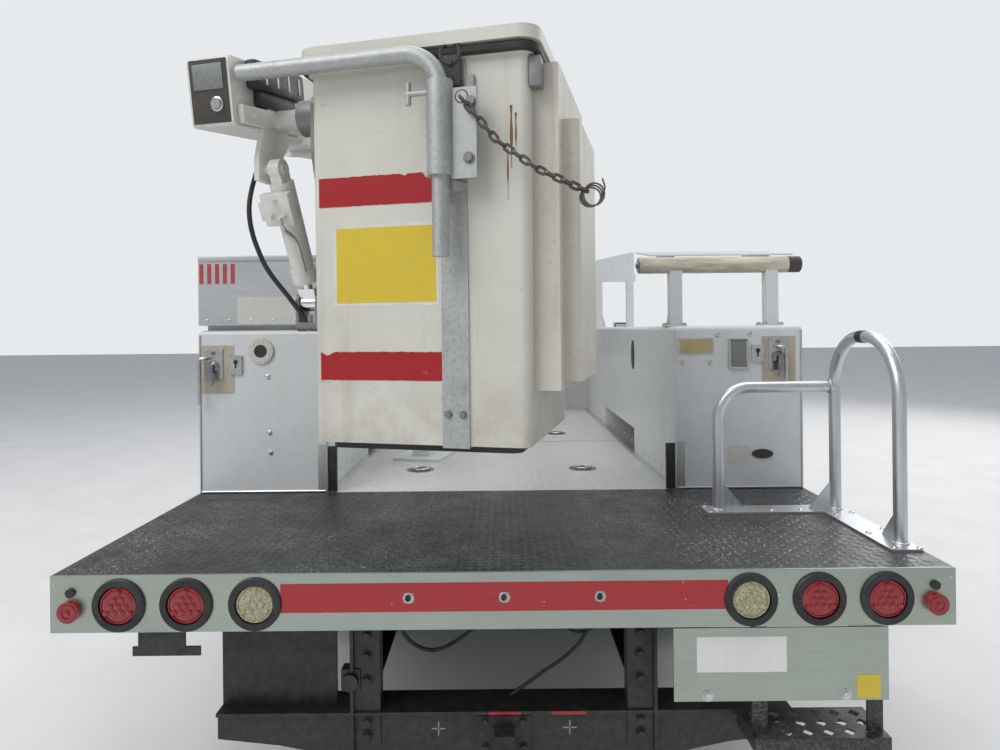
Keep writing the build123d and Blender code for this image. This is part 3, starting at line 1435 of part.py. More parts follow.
# Arm: a box beam with a lug for its cylinder
with BuildPart() as lift_arm:
    arm_plane_place = Location((arm_pivot_v, arm_pivot_z, 0), (0, 0, arm_rest))
    with BuildSketch(aerial_side(-arm_width / 2)):
        with Locations(arm_plane_place):
            with Locations((arm_length / 2, 0)):
                SlotCenterToCenter(arm_length, arm_height)
    extrude(amount=arm_width)
    with BuildSketch(aerial_side(-arm_width / 2 + arm_wall)):
        with Locations(arm_plane_place):
            with Locations((arm_length / 2, 0)):
                Rectangle(arm_length - 260, arm_height - 2 * arm_wall)
    extrude(amount=arm_width - 2 * arm_wall, mode=Mode.SUBTRACT)
    lug_corners = (
        (arm_ram_reach - 90, -arm_height / 2 + 4),
        (arm_ram_reach + 90, -arm_height / 2 + 4),
        (arm_ram_reach + 30, -arm_ram_drop - 28),
        (arm_ram_reach - 30, -arm_ram_drop - 28),
    )
    for low_u in (-48, 32):
        with BuildSketch(aerial_side(low_u)):
            with BuildLine():
                Polyline([placed(arm_plane_place, *corner) for corner in lug_corners], close=True)
            make_face()
        extrude(amount=16)
    for low_u in (-54, 31):
        with BuildSketch(aerial_side(low_u)):
            with Locations(arm_ram_end):
                Circle(ram_pin)
        extrude(amount=23)
    for place in (arm_pivot, arm_end):
        with BuildSketch(aerial_side(-arm_width)):
            with Locations(place):
                Circle(arm_pin + fit_gap)
        extrude(amount=2 * arm_width, mode=Mode.SUBTRACT)
lift_arm.part.label = "lift_arm"
export_step(lift_arm.part, "parts/lift_arm.step")

# Compensation link above the arm, which keeps the head upright
with BuildPart() as level_link:
    with BuildSketch(aerial_side(-50)):
        with Locations(Location((link_pivot[0], link_pivot[1], 0), (0, 0, arm_rest))):
            with Locations((arm_length / 2, 0)):
                SlotCenterToCenter(arm_length, link_height)
    extrude(amount=100)
    for place in (link_pivot, link_end):
        with BuildSketch(aerial_side(-51)):
            with Locations(place):
                Circle(link_pin + fit_gap)
        extrude(amount=102, mode=Mode.SUBTRACT)
level_link.part.label = "level_link"
export_step(level_link.part, "parts/level_link.step")

# Head: two cheeks and a front web, with the pins of the arm, the link, the elbow and the boom's cylinder
with BuildPart() as arm_head:
    for side in (-1, 1):
        low_u = min(side * cheek_inner, side * cheek_outer)
        with BuildSketch(aerial_side(low_u)) as cheek:
            with BuildLine():
                Polyline(
                    (arm_end[0] - 60, arm_end[1] - 70),
                    (arm_end[0] + 80, arm_end[1] - 70),
                    (arm_end[0] + 105, arm_end[1] + 60),
                    (elbow_v + 110, elbow_z - 60),
                    (elbow_v + 75, elbow_z + 80),
                    (elbow_v - 75, elbow_z + 80),
                    (elbow_v - 110, elbow_z - 90),
                    (boom_ram_base[0] - 55, boom_ram_base[1] + 50),
                    (boom_ram_base[0] - 55, boom_ram_base[1] - 60),
                    (link_end[0] - 60, link_end[1] - 50),
                    close=True,
                )
            make_face()
            fillet(cheek.vertices().group_by(Axis.Y)[-1], 40)
        extrude(amount=cheek_outer - cheek_inner)
    with BuildSketch(aerial_side(-cheek_inner)):
        with Locations((arm_end[0] + 98, (arm_end[1] + 2700) / 2 + 40)):
            Rectangle(14, 2700 - arm_end[1] - 100)
    extrude(amount=2 * cheek_inner)
    pins = ((arm_end, arm_pin), (link_end, link_pin), (elbow, arm_pin + 5), (boom_ram_base, ram_pin))
    for place, radius in pins:
        with BuildSketch(aerial_side(-cheek_outer - 12)):
            with Locations(place):
                Circle(radius)
        extrude(amount=2 * cheek_outer + 24)
arm_head.part.label = "arm_head"
export_step(arm_head.part, "parts/arm_head.step")

# Outer boom: an open box beam with the cylinder's lug under it
boom_place = Location((elbow_v, elbow_z, 0), (0, 0, 180 + boom_dip))
with BuildPart() as outer_boom:
    outer_length = outer_boom_end + boom_butt
    with BuildSketch(aerial_side(-boom_width / 2)):
        with Locations(boom_place):
            with Locations(((outer_boom_end - boom_butt) / 2, 0)):
                Rectangle(outer_length, boom_height)
    extrude(amount=boom_width)
    with BuildSketch(aerial_side(-boom_width / 2 + boom_wall)):
        with Locations(boom_place):
            with Locations((outer_boom_end / 2 + 100, 0)):
                Rectangle(outer_boom_end, boom_height - 2 * boom_wall)
    extrude(amount=boom_width - 2 * boom_wall, mode=Mode.SUBTRACT)
    lug_corners = (
        (boom_ram_reach - 100, boom_height / 2 - 4),
        (boom_ram_reach + 100, boom_height / 2 - 4),
        (boom_ram_reach + 32, boom_ram_drop + 30),
        (boom_ram_reach - 32, boom_ram_drop + 30),
    )
    for low_u in (-50, 34):
        with BuildSketch(aerial_side(low_u)):
            with BuildLine():
                Polyline([placed(boom_place, *corner) for corner in lug_corners], close=True)
            make_face()
        extrude(amount=16)
    for low_u in (-56, 33):
        with BuildSketch(aerial_side(low_u)):
            with Locations(boom_ram_end):
                Circle(ram_pin)
        extrude(amount=23)
    with BuildSketch(aerial_side(-boom_width)):
        with Locations(elbow):
            Circle(arm_pin + 5 + fit_gap)
    extrude(amount=2 * boom_width, mode=Mode.SUBTRACT)
outer_boom.part.label = "outer_boom"
export_step(outer_boom.part, "parts/outer_boom.step")

# Inner boom: a sliding box beam with the tip box, the platform's shaft and the levelling cylinder's lug
with BuildPart() as inner_boom:
    tip_end = (elbow_v - tip_v) / cos(radians(boom_dip))
    slide_width = boom_width - 2 * boom_wall - 2 * boom_slide_gap
    slide_height = boom_height - 2 * boom_wall - 2 * boom_slide_gap
    slide_end = tip_end - tip_length + 20
    with BuildSketch(aerial_side(-slide_width / 2)):
        with Locations(boom_place):
            with Locations(((inner_boom_start + slide_end) / 2, 0)):
                Rectangle(slide_end - inner_boom_start, slide_height)
    extrude(amount=slide_width)
    with BuildSketch(aerial_side(-slide_width / 2 + 8)):
        with Locations(boom_place):
            with Locations(((inner_boom_start + slide_end) / 2 - 60, 0)):
                Rectangle(slide_end - inner_boom_start, slide_height - 16)
    extrude(amount=slide_width - 16, mode=Mode.SUBTRACT)
    with BuildSketch(aerial_side(-tip_width / 2)) as tip_outline:
        with Locations(boom_place):
            with Locations((tip_end - tip_length / 2, 0)):
                Rectangle(tip_length, tip_height)
        fillet(tip_outline.vertices(), 14)
    extrude(amount=tip_width)
    with BuildSketch(aerial_side(tip_width / 2 - 10)):
        with Locations(shaft_at):
            Circle(platform_shaft)
    extrude(amount=185)
    with BuildSketch(aerial_side(tip_width / 2 - 1)) as lug:
        with BuildLine():
            Polyline(
                (shaft_at[0] - 50, shaft_at[1] + 30),
                (shaft_at[0] + 60, shaft_at[1] + 30),
                (shaft_at[0] + 60, shaft_at[1] - 60),
                (level_ram_base[0] + 30, level_ram_base[1] - 34),
                (level_ram_base[0] - 34, level_ram_base[1] - 34),
                (level_ram_base[0] - 34, level_ram_base[1] + 30),
                close=True,
            )
        make_face()
    extrude(amount=16)
    with BuildSketch(aerial_side(tip_width / 2)):
        with Locations(level_ram_base):
            Circle(level_pin)
    extrude(amount=level_ram_u + 22 - tip_width / 2)
inner_boom.part.label = "inner_boom"
export_step(inner_boom.part, "parts/inner_boom.step")

# Platform bracket: hub on the shaft, side plate along the bucket and the clevis of the levelling cylinder
bracket_outer_u = bucket_u - bucket_top_half - 5
with BuildPart() as platform_bracket:
    with BuildSketch(aerial_side(bracket_outer_u - 20)) as side_plate:
        with BuildLine():
            Polyline(
                (shaft_at[0] - 80, shaft_at[1] + 42),
                (shaft_at[0] + 80, shaft_at[1] + 42),
                (level_ram_end[0] + 150, level_ram_end[1] + 60),
                (level_ram_end[0] + 150, level_ram_end[1] - 90),
                (level_ram_end[0] - 60, level_ram_end[1] - 90),
                (shaft_at[0] - 80, shaft_at[1] - 120),
                close=True,
            )
        make_face()
        fillet(side_plate.vertices(), 25)
    extrude(amount=20)
    with BuildSketch(aerial_side(bracket_outer_u - 85)):
        with Locations(shaft_at):
            Circle(52)
    extrude(amount=70)
    with BuildSketch(aerial_side(level_ram_u - clevis_half)) as clevis:
        with Locations((level_ram_end[0], level_ram_end[1] - 29)):
            Rectangle(64, 118)
        fillet(clevis.vertices(), 20)
    extrude(amount=bracket_outer_u - 10 - level_ram_u + clevis_half)
    with BuildSketch(aerial_side(level_ram_u - 28)):
        with Locations((level_ram_end[0], level_ram_end[1] - 4)):
            Rectangle(70, 112)
    extrude(amount=56, mode=Mode.SUBTRACT)
    for low_u, reach in ((level_ram_u - clevis_half - 1, 10), (level_ram_u + 29, 23)):
        with BuildSketch(aerial_side(low_u)):
            with Locations(level_ram_end):
                Circle(level_pin)
        extrude(amount=reach)
    with BuildSketch(aerial_side(bracket_outer_u - 95)):
        with Locations(shaft_at):
            Circle(platform_shaft + fit_gap)
    extrude(amount=200, mode=Mode.SUBTRACT)
platform_bracket.part.label = "platform_bracket"
export_step(platform_bracket.part, "parts/platform_bracket.step")


def bucket_section(z, half, corner):
    """Return one level section of the bucket: a square with round corners."""
    with BuildSketch(aerial_level(z)) as section:
        with Locations((bucket_u, bucket_v)):
            RectangleRounded(2 * half, 2 * half, corner)
    return section.sketch


# Bucket: a tapered tub with round corners, open at the top, and the flange band under its lip
with BuildPart() as bucket:
    loft(
        [
            bucket_section(bucket_low_z, bucket_low_half, bucket_corner),
            bucket_section(bucket_rim_z, bucket_top_half, bucket_corner),
        ]
    )
    inner_low = bucket_low_half - bucket_wall
    inner_top = bucket_top_half - bucket_wall
    loft(
        [
            bucket_section(bucket_low_z + bucket_wall, inner_low, bucket_corner - bucket_wall),
            bucket_section(bucket_rim_z + 1, inner_top, bucket_corner - bucket_wall),
        ],
        mode=Mode.SUBTRACT,
    )
    for z, tall, reach in ((bucket_rim_z - 30, 26, 12), (bucket_rim_z, lip_height, lip_reach)):
        with BuildSketch(aerial_level(z)):
            with Locations((bucket_u, bucket_v)):
                RectangleRounded(2 * (bucket_top_half + reach), 2 * (bucket_top_half + reach),
                    bucket_corner + reach)
                if z == bucket_rim_z:
                    RectangleRounded(2 * inner_top, 2 * inner_top, bucket_corner - bucket_wall,
                        mode=Mode.SUBTRACT)
                else:
                    hole = bucket_top_half - 4
                    RectangleRounded(2 * hole, 2 * hole, bucket_corner - 4, mode=Mode.SUBTRACT)
        extrude(amount=tall)
bucket.part.label = "bucket"
export_step(bucket.part, "parts/bucket.step")

# Two moulded tool boxes on the bucket's right side: low and high edge, start and end, outer face
bucket_right = bucket_u + bucket_top_half
bucket_rear = bucket_v - bucket_top_half
side_trays = ((1480, 2332, 60, 560, 0, 66), (1500, 2200, 120, 500, 66, 112))
with BuildPart() as bucket_boxes:
    for low, high, start, end, inside, outside in side_trays:
        with BuildSketch(aerial_level(low)) as tray:
            with BuildLine():
                near_u = bucket_right + inside - 14
                far_u = bucket_right + outside
                Polyline(
                    (near_u, bucket_rear + start),
                    (far_u, bucket_rear + start),
                    (far_u, bucket_rear + end),
                    (near_u, bucket_rear + end),
                    close=True,
                )
            make_face()
        extrude(amount=high - low)
    outer_edges = bucket_boxes.edges().filter_by(Axis.Z)
    fillet(outer_edges.sort_by(lambda e: (turret_at.inverse() * Location(e.center())).position.X)[-4:], 18)
    loft(
        [
            bucket_section(bucket_low_z, bucket_low_half + seat_gap, bucket_corner),
            bucket_section(bucket_rim_z, bucket_top_half + seat_gap, bucket_corner),
        ],
        mode=Mode.SUBTRACT,
    )
bucket_boxes.part.label = "bucket_boxes"
export_step(bucket_boxes.part, "parts/bucket_boxes.step")

# Bucket hardware: strap around the bucket, sleeve with its flag plate, and the bent grounding pipe
strap_rear_v = bucket_v - bucket_top_half
with BuildPart() as bucket_hardware:
    strap_gap = seat_gap
    rear_low = bucket_v - bucket_low_half - strap_gap
    rear_top = bucket_v - bucket_top_half - strap_gap
    front_low = bucket_v + bucket_low_half + strap_gap
    front_top = bucket_v + bucket_top_half + strap_gap
    band_top_z = bucket_rim_z - 34
    pipe_v = rear_top - 60
    lean = (bucket_top_half - bucket_low_half) * (band_top_z - bucket_low_z) / (bucket_rim_z - bucket_low_z)
    with BuildSketch(aerial_side(strap_u - strap_width / 2)):
        with BuildLine():
            Polyline(
                (rear_low - lean, band_top_z),
                (rear_low, bucket_low_z - strap_gap),
                (front_low, bucket_low_z - strap_gap),
                (front_low + lean, band_top_z),
                (front_low + lean + 5, band_top_z),
                (front_low + 5, bucket_low_z - strap_gap - 5),
                (rear_low - 5, bucket_low_z - strap_gap - 5),
                (rear_low - lean - 5, band_top_z),
                close=True,
            )
        make_face()
    extrude(amount=strap_width)
    for low_z, high_z in ((1995, 2020), (2200, 2229)):
        with BuildSketch(aerial_level(low_z)):
            with BuildLine():
                Polyline(
                    (strap_u - 32, rear_top - 1),
                    (strap_u + 32, rear_top - 1),
                    (sleeve_u + 28, pipe_v + 20),
                    (sleeve_u - 28, pipe_v + 20),
                    close=True,
                )
            make_face()
        extrude(amount=high_z - low_z)
    with BuildSketch(aerial_level(sleeve_low_z)):
        with Locations((sleeve_u, pipe_v)):
            Circle(sleeve_radius)
            Circle(pipe_radius - 1, mode=Mode.SUBTRACT)
    extrude(amount=sleeve_tall)
    with BuildSketch(aerial_level(sleeve_low_z - 9)):
        with Locations((sleeve_u + sleeve_radius + flag_width / 2 - 4, pipe_v)):
            Rectangle(flag_width, 6)
    extrude(amount=sleeve_tall - 12)
    start = aerial_point(sleeve_u, pipe_v, pipe_low_z)
    corner = aerial_point(sleeve_u, pipe_v, pipe_top_z - 30)
    finish = aerial_point(tip_width / 2 + 15, pipe_v, pipe_top_z - 30)
    with BuildLine() as pipe_line:
        FilletPolyline(tuple(start), tuple(corner), tuple(finish), radius=95)
    with BuildSketch(Plane(origin=start, z_dir=(0, 0, 1))):
        Circle(pipe_radius)
    sweep()
    handle_at = aerial_point(sleeve_u - sleeve_radius + 2, pipe_v, sleeve_low_z + 213)
    with BuildSketch(Plane(origin=handle_at, z_dir=tuple(aerial_point(-1, 0, 0) - aerial_point(0, 0, 0)))):
        Circle(7)
    extrude(amount=60)
    with BuildSketch(Plane(origin=aerial_point(sleeve_u - 84, pipe_v, sleeve_low_z + 185),
        z_dir=(0, 0, 1))):
        Circle(7)
    extrude(amount=56)
bucket_hardware.part.label = "bucket_hardware"
export_step(bucket_hardware.part, "parts/bucket_hardware.step")

# Steel frame with a rubber pad under the bucket, fixed to the bracket's side plate
with BuildPart() as bucket_pad:
    pad_half = bucket_low_half - 30
    with BuildSketch(aerial_level(bucket_low_z - bucket_pad_thick)):
        with Locations((bucket_u, bucket_v)):
            RectangleRounded(2 * pad_half, 2 * pad_half, 30)
    extrude(amount=bucket_pad_thick - seat_gap)
    with BuildSketch(aerial_level(bucket_low_z - 6)):
        with Locations((strap_u, bucket_v)):
            Rectangle(strap_width + 2, 2 * bucket_low_half)
    extrude(amount=10, mode=Mode.SUBTRACT)
    with BuildSketch(aerial_level(bucket_low_z - bucket_pad_thick)):
        with Locations((bucket_u - bucket_low_half, bucket_v)):
            Rectangle(80, 240)
    extrude(amount=10)
    plate_height = level_ram_end[1] - bucket_low_z + bucket_pad_thick
    with BuildSketch(aerial_side(bracket_outer_u + seat_gap)):
        with Locations((level_ram_end[0] + 60, level_ram_end[1] - plate_height / 2)):
            Rectangle(140, plate_height)
    extrude(amount=6)
bucket_pad.part.label = "bucket_pad"
export_step(bucket_pad.part, "parts/bucket_pad.step")


def ram_place(base, end):
    """Return the place in the v and z plane at a cylinder's base, with its x axis to the rod's eye."""
    angle = degrees(atan2(end[1] - base[1], end[0] - base[0]))
    return Location((base[0], base[1], 0), (0, 0, angle))


def ram_length(base, end):
    """Return the distance between the two pins of a cylinder."""
    return hypot(end[0] - base[0], end[1] - base[1])


def make_ram(label, base, end, at_u, bore_radius, rod_radius, pin, eye_width, rod_eye_width, barrel_share):
    """Write the barrel and the rod of one cylinder, each with its eye, and return the two parts."""
    length = ram_length(base, end)
    place = ram_place(base, end)
    barrel_end = length * barrel_share
    axis_from = aerial_point(at_u, base[0], base[1])
    axis_to = aerial_point(at_u, end[0], end[1])
    along = (axis_to - axis_from).normalized()
    with BuildPart() as barrel:
        with BuildSketch(Plane(origin=axis_from + along * (pin + 22), z_dir=along)):
            Circle(bore_radius + 8)
        extrude(amount=barrel_end - pin - 22)
        with BuildSketch(Plane(origin=axis_from + along * (barrel_end - 40), z_dir=along)):
            Circle(bore_radius + 13)
        extrude(amount=40)
        with BuildSketch(Plane(origin=axis_from + along * (pin + 42), z_dir=along)):
            Circle(bore_radius)
        extrude(amount=barrel_end, mode=Mode.SUBTRACT)
        with BuildSketch(Plane(origin=axis_from + along * (barrel_end - 30), z_dir=along)):
            Circle(bore_radius + 1)
            Circle(rod_radius + fit_gap, mode=Mode.SUBTRACT)
        extrude(amount=30)
        with BuildSketch(aerial_side(at_u - eye_width / 2)):
            with Locations(place):
                Circle(pin + 16)
                with Locations((pin + 20, 0)):
                    Rectangle(40, 2 * pin + 24)
        extrude(amount=eye_width)
        with BuildSketch(aerial_side(at_u - eye_width)):
            with Locations(base):
                Circle(pin + fit_gap)
        extrude(amount=2 * eye_width, mode=Mode.SUBTRACT)
    barrel.part.label = label + "_barrel"
    export_step(barrel.part, "parts/" + label + "_barrel.step")
    with BuildPart() as rod:
        with BuildSketch(Plane(origin=axis_from + along * (pin + 44), z_dir=along)):
            Circle(bore_radius - 1)
        extrude(amount=20)
        with BuildSketch(Plane(origin=axis_from + along * (pin + 60), z_dir=along)):
            Circle(rod_radius)
        extrude(amount=length - 2 * pin - 80)
        with BuildSketch(aerial_side(at_u - rod_eye_width / 2)):
            with Locations(place):
                with Locations((length, 0)):
                    Circle(pin + 12)
                with Locations((length - pin - 20, 0)):
                    Rectangle(40, 2 * rod_radius)
        extrude(amount=rod_eye_width)
    rod.part.label = label + "_rod"
    export_step(rod.part, "parts/" + label + "_rod.step")
    return barrel.part, rod.part


rams = (
    ("arm_cylinder", arm_ram_base, arm_ram_end, 0, 40, 24, ram_pin, 60, 60, 0.82),
    ("boom_cylinder", boom_ram_base, boom_ram_end, 0, 40, 24, ram_pin, 64, 64, 0.86),
    ("level_cylinder", level_ram_base, level_ram_end, level_ram_u, 27, 16, level_pin, 34, 54, 0.82),
)
for ram in rams:
    make_ram(*ram)

# Loose chain from the sleeve's eye to a hook on the boxes, and the ring at its end
with BuildPart() as chain:
    chain_places = (
        (sleeve_u + 60, pipe_v - 22.1, 2215),
        (800, pipe_v - 2.1, 2105),
        (895, pipe_v + 20, 2035),
        (1010, pipe_v + 90, 1985),
    )
    points = [aerial_point(*place) for place in chain_places]
    turn = 0
    for first, last in zip(points, points[1:]):
        span = last - first
        count = max(1, round(span.length / chain_pitch))
        for number in range(count):
            centre = first + span * ((number + 0.5) / count)
            side_dir = (0, 0, 1) if turn % 2 else (span.Y, -span.X, 0)
            link_plane = Plane(origin=centre, x_dir=tuple(span), z_dir=tuple(span.cross(Vector(side_dir))))
            with BuildSketch(link_plane.offset(-chain_wire / 2)):
                SlotOverall(chain_pitch + 1.6 * chain_wire, 3.4 * chain_wire)
                SlotOverall(chain_pitch - 0.4 * chain_wire, 1.4 * chain_wire, mode=Mode.SUBTRACT)
            extrude(amount=chain_wire)
            turn += 1
chain.part.label = "chain"
export_step(chain.part, "parts/chain.step")
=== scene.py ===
import json
import math
import random
from fnmatch import filter as matching

import bmesh
import bpy
from mathutils import Matrix, Vector

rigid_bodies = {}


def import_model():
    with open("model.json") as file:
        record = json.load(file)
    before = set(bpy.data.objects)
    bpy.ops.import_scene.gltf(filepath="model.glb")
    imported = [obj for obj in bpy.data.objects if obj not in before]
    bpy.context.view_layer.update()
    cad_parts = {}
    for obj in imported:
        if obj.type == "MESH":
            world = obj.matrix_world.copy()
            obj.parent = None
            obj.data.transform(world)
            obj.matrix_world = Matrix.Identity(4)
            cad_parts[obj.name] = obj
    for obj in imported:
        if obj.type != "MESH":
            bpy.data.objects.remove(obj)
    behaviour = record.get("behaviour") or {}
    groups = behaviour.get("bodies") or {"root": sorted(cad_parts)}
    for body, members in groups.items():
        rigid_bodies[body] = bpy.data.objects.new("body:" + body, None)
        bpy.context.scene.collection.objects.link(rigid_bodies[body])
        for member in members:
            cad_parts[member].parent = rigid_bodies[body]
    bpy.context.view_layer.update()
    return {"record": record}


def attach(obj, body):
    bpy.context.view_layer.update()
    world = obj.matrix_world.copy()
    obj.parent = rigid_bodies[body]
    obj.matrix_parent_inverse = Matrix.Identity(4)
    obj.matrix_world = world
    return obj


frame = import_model()
random.seed(7)

# Places and sizes in metres, as in the part's source
TAIL_Y = -3.28
DECK_Z = 1.0
BODY_HALF = 1.195
BOX_INNER = 0.688
BOX_REAR_Y = -2.366
BOX_FRONT_Y = 0.377
SHELF_FRONT_Y = TAIL_Y + 0.914
LAMP_Z = 0.922
LAMPS = {"red": (-1.013, -0.835, 0.835, 1.013), "clear": (-0.654, 0.654)}
STEP_Z = 0.55
FRONT_AXLE_Y = 2.537
REAR_AXLE_Y = -1.044
WHEEL_Z = 0.405
RIM_RADIUS = 0.2499
ROLLER_Y = TAIL_Y + 1.08
ROLLER_Z = 1.9
TURRET_Y = -0.08
SLEW = math.radians(-14)
RIGHT = Vector((math.cos(SLEW), math.sin(SLEW), 0))
AHEAD = Vector((-math.sin(SLEW), math.cos(SLEW), 0))
UP = Vector((0, 0, 1))
BACK = (0, -1, 0)
DIP = math.radians(8.5)
BUCKET_U = 0.563
BUCKET_V = -2.858
BUCKET_LOW_Z = 1.338
BUCKET_RIM_Z = 2.370
BUCKET_TOP_HALF = 0.305
BUCKET_LOW_HALF = 0.300
BUCKET_REAR_V = BUCKET_V - BUCKET_TOP_HALF
STRAP_U = 0.668
AERIAL = Matrix.Translation((0, TURRET_Y, 0)) @ Matrix((RIGHT, AHEAD, UP)).transposed().to_4x4()


def aerial(u, v, z):
    """Return a point of the aerial device's frame in the truck's frame."""
    return Vector((0, TURRET_Y, 0)) + RIGHT * u + AHEAD * v + UP * z


# Materials, kept by name

MATERIALS = {}


class Nodes:
    """A material's node tree, built by short calls."""

    def __init__(self, name, mat=None):
        self.mat = MATERIALS[name] = mat or bpy.data.materials.new(name)
        self.mat.name = name
        self.mat.use_nodes = True
        self.tree = self.mat.node_tree
        self.shader = self.tree.nodes["Principled BSDF"]
        self.coords = self.add("ShaderNodeTexCoord").outputs["Object"]

    def add(self, kind, inputs=(), **settings):
        """Add a node and give its inputs, by name or number."""
        node = self.tree.nodes.new(kind)
        for key, value in settings.items():
            setattr(node, key, value)
        for key, value in dict(inputs).items():
            self.feed(node.inputs[key], value)
        return node

    def feed(self, socket, value):
        """Give a socket a number, a vector, a colour or another node's output."""
        if isinstance(value, (int, float)):
            socket.default_value = value
        elif isinstance(value, tuple):
            socket.default_value = value if len(socket.default_value) == 3 else (*value, 1)
        else:
            self.tree.links.new(value, socket)

    def noise(self, scale, detail=4.0, rough=0.55, stretch=None):
        """Return noise on the object coordinates, scaled along each axis by stretch."""
        at = self.coords
        if stretch:
            at = self.add("ShaderNodeMapping", {"Scale": stretch, "Vector": at}).outputs["Vector"]
        inputs = {"Scale": scale, "Detail": detail, "Roughness": rough, "Vector": at}
        return self.add("ShaderNodeTexNoise", inputs).outputs["Fac"]

    def cells(self, scale, **settings):
        """Return the distance in a pattern of cells."""
        inputs = {"Scale": scale, "Vector": self.coords}
        return self.add("ShaderNodeTexVoronoi", inputs, **settings).outputs["Distance"]

    def ramp(self, value, low, high, start=0.0, end=1.0):
        """Map a value's range from low to high onto start to end."""
        inputs = {"From Min": low, "From Max": high, "To Min": start, "To Max": end, "Value": value}
        return self.add("ShaderNodeMapRange", inputs).outputs["Result"]

    def math(self, operation, first, second=0):
        return self.add("ShaderNodeMath", {0: first, 1: second}, operation=operation).outputs[0]

    def times(self, first, second):
        return self.math("MULTIPLY", first, second)

    def mix(self, factor, first, second):
        return self.add("ShaderNodeMix", {0: factor, 6: first, 7: second}, data_type="RGBA").outputs[2]

    def split(self, vector=None):
        """Return the X, Y and Z of a vector, or of the object coordinates."""
        return self.add("ShaderNodeSeparateXYZ", {0: vector or self.coords}).outputs[:3]

    def height(self, low, high):
        """Return 1 below low and 0 above high, along Z."""
        return self.ramp(self.split()[2], low, high, 1.0, 0.0)

    def worn_edges(self, radius):
        """Return a mask of the convex and concave edges."""
        bevel = self.add("ShaderNodeBevel", {"Radius": radius}, samples=4).outputs[0]
        normal = self.add("ShaderNodeNewGeometry").outputs["Normal"]
        dot = self.add("ShaderNodeVectorMath", {0: bevel, 1: normal}, operation="DOT_PRODUCT")
        return self.ramp(dot.outputs["Value"], 0.98, 0.75)

    def bump(self, value, strength, distance=0.002):
        inputs = {"Strength": strength, "Distance": distance, "Height": value}
        self.set(Normal=self.add("ShaderNodeBump", inputs).outputs[0])

    def set(self, **values):
        """Feed the shader's inputs, with _ for each space in a name."""
        for key, value in values.items():
            self.feed(self.shader.inputs[key.replace("_", " ")], value)


def painted(name, colour, dirt, rough=0.32, dirty=0.35, splash_z=0.0, wear=None, coat=0.3, streaks=0.25):
    """Paint with faint mottling, streaks of dirt, road splash below splash_z and worn edges."""
    n = Nodes(name)
    mottle = n.noise(9, 5)
    shade = n.mix(n.ramp(mottle, 0.35, 0.7, 0, 0.5), colour, tuple(c * 0.9 for c in colour))
    streak = n.ramp(n.noise(14, 5, 0.6, (1, 1, 0.06)), 0.52, 0.75, 0, streaks)
    mask = n.times(streak, n.ramp(n.noise(2.3), 0.4, 0.65))
    film = n.times(n.ramp(n.noise(30, 6, 0.7), 0.45, 0.8, 0, dirty), 0.6)
    mask = n.math("MAXIMUM", mask, film)
    if splash_z:
        splash = n.ramp(n.noise(18, 6, 0.7), 0.3, 0.7, 0.15, 0.8)
        mask = n.math("MAXIMUM", mask, n.times(n.height(splash_z - 0.35, splash_z), splash))
    shade = n.mix(mask, shade, dirt)
    if wear:
        chips = n.times(n.worn_edges(0.004), n.ramp(n.noise(60, 4), 0.48, 0.6))
        shade = n.mix(chips, shade, wear)
    n.set(Base_Color=shade, Roughness=n.ramp(mottle, 0.3, 0.75, rough - 0.06, rough + 0.14))
    n.set(Coat_Weight=coat, Coat_Roughness=0.15)
    n.bump(n.noise(220, 3), 0.06, 0.0006)


def metal(name, colour, rough, brushed, dark, stain=(0.2, 0.17, 0.14), stain_amount=0.2, metallic=1.0):
    """Bare metal with its grain along one axis, dull patches and stains."""
    n = Nodes(name)
    grain = n.noise(160, 4, 0.6, brushed) if brushed else n.noise(45, 6, 0.65)
    patch = n.noise(5, 5, 0.6)
    shade = n.mix(n.ramp(grain, 0.3, 0.7), tuple(c * dark for c in colour), colour)
    shade = n.mix(n.times(n.ramp(patch, 0.5, 0.75), stain_amount), shade, stain)
    dull = n.math("ADD", n.ramp(grain, 0.3, 0.7, rough, rough + 0.12), n.ramp(patch, 0.4, 0.8, 0, 0.15))
    n.set(Base_Color=shade, Metallic=metallic, Roughness=dull)
    n.bump(grain, 0.12, 0.0008)


def moulded(name, colour, rough=0.55, grain=350, depth=0.12, dust=(0.35, 0.33, 0.3), dust_amount=0.25):
    """Moulded plastic or rubber with a fine grain and a film of dust."""
    n = Nodes(name)
    film = n.times(n.ramp(n.noise(7, 6, 0.65), 0.42, 0.75), dust_amount)
    dull = n.ramp(n.noise(20), 0.3, 0.7, rough - 0.08, rough + 0.12)
    n.set(Base_Color=n.mix(film, colour, dust), Roughness=dull)
    n.bump(n.noise(grain, 2), depth, 0.0006)


def galvanised(name, colour=(0.5, 0.51, 0.5), rust=0.25):
    """Zinc coating with its spangle, white bloom and rust spots."""
    n = Nodes(name)
    spangle = n.ramp(n.cells(90), 0.0, 0.6)
    shade = n.mix(spangle, tuple(c * 0.78 for c in colour), colour)
    shade = n.mix(n.times(n.ramp(n.noise(12, 6, 0.65), 0.5, 0.72), 0.45), shade, (0.36, 0.36, 0.35))
    shade = n.mix(n.times(n.ramp(n.noise(24, 6, 0.7), 0.62, 0.72), rust), shade, (0.23, 0.1, 0.05))
    n.set(Base_Color=shade, Metallic=0.75, Roughness=n.ramp(spangle, 0, 1, 0.42, 0.6))
    n.bump(n.noise(60, 5), 0.12, 0.001)


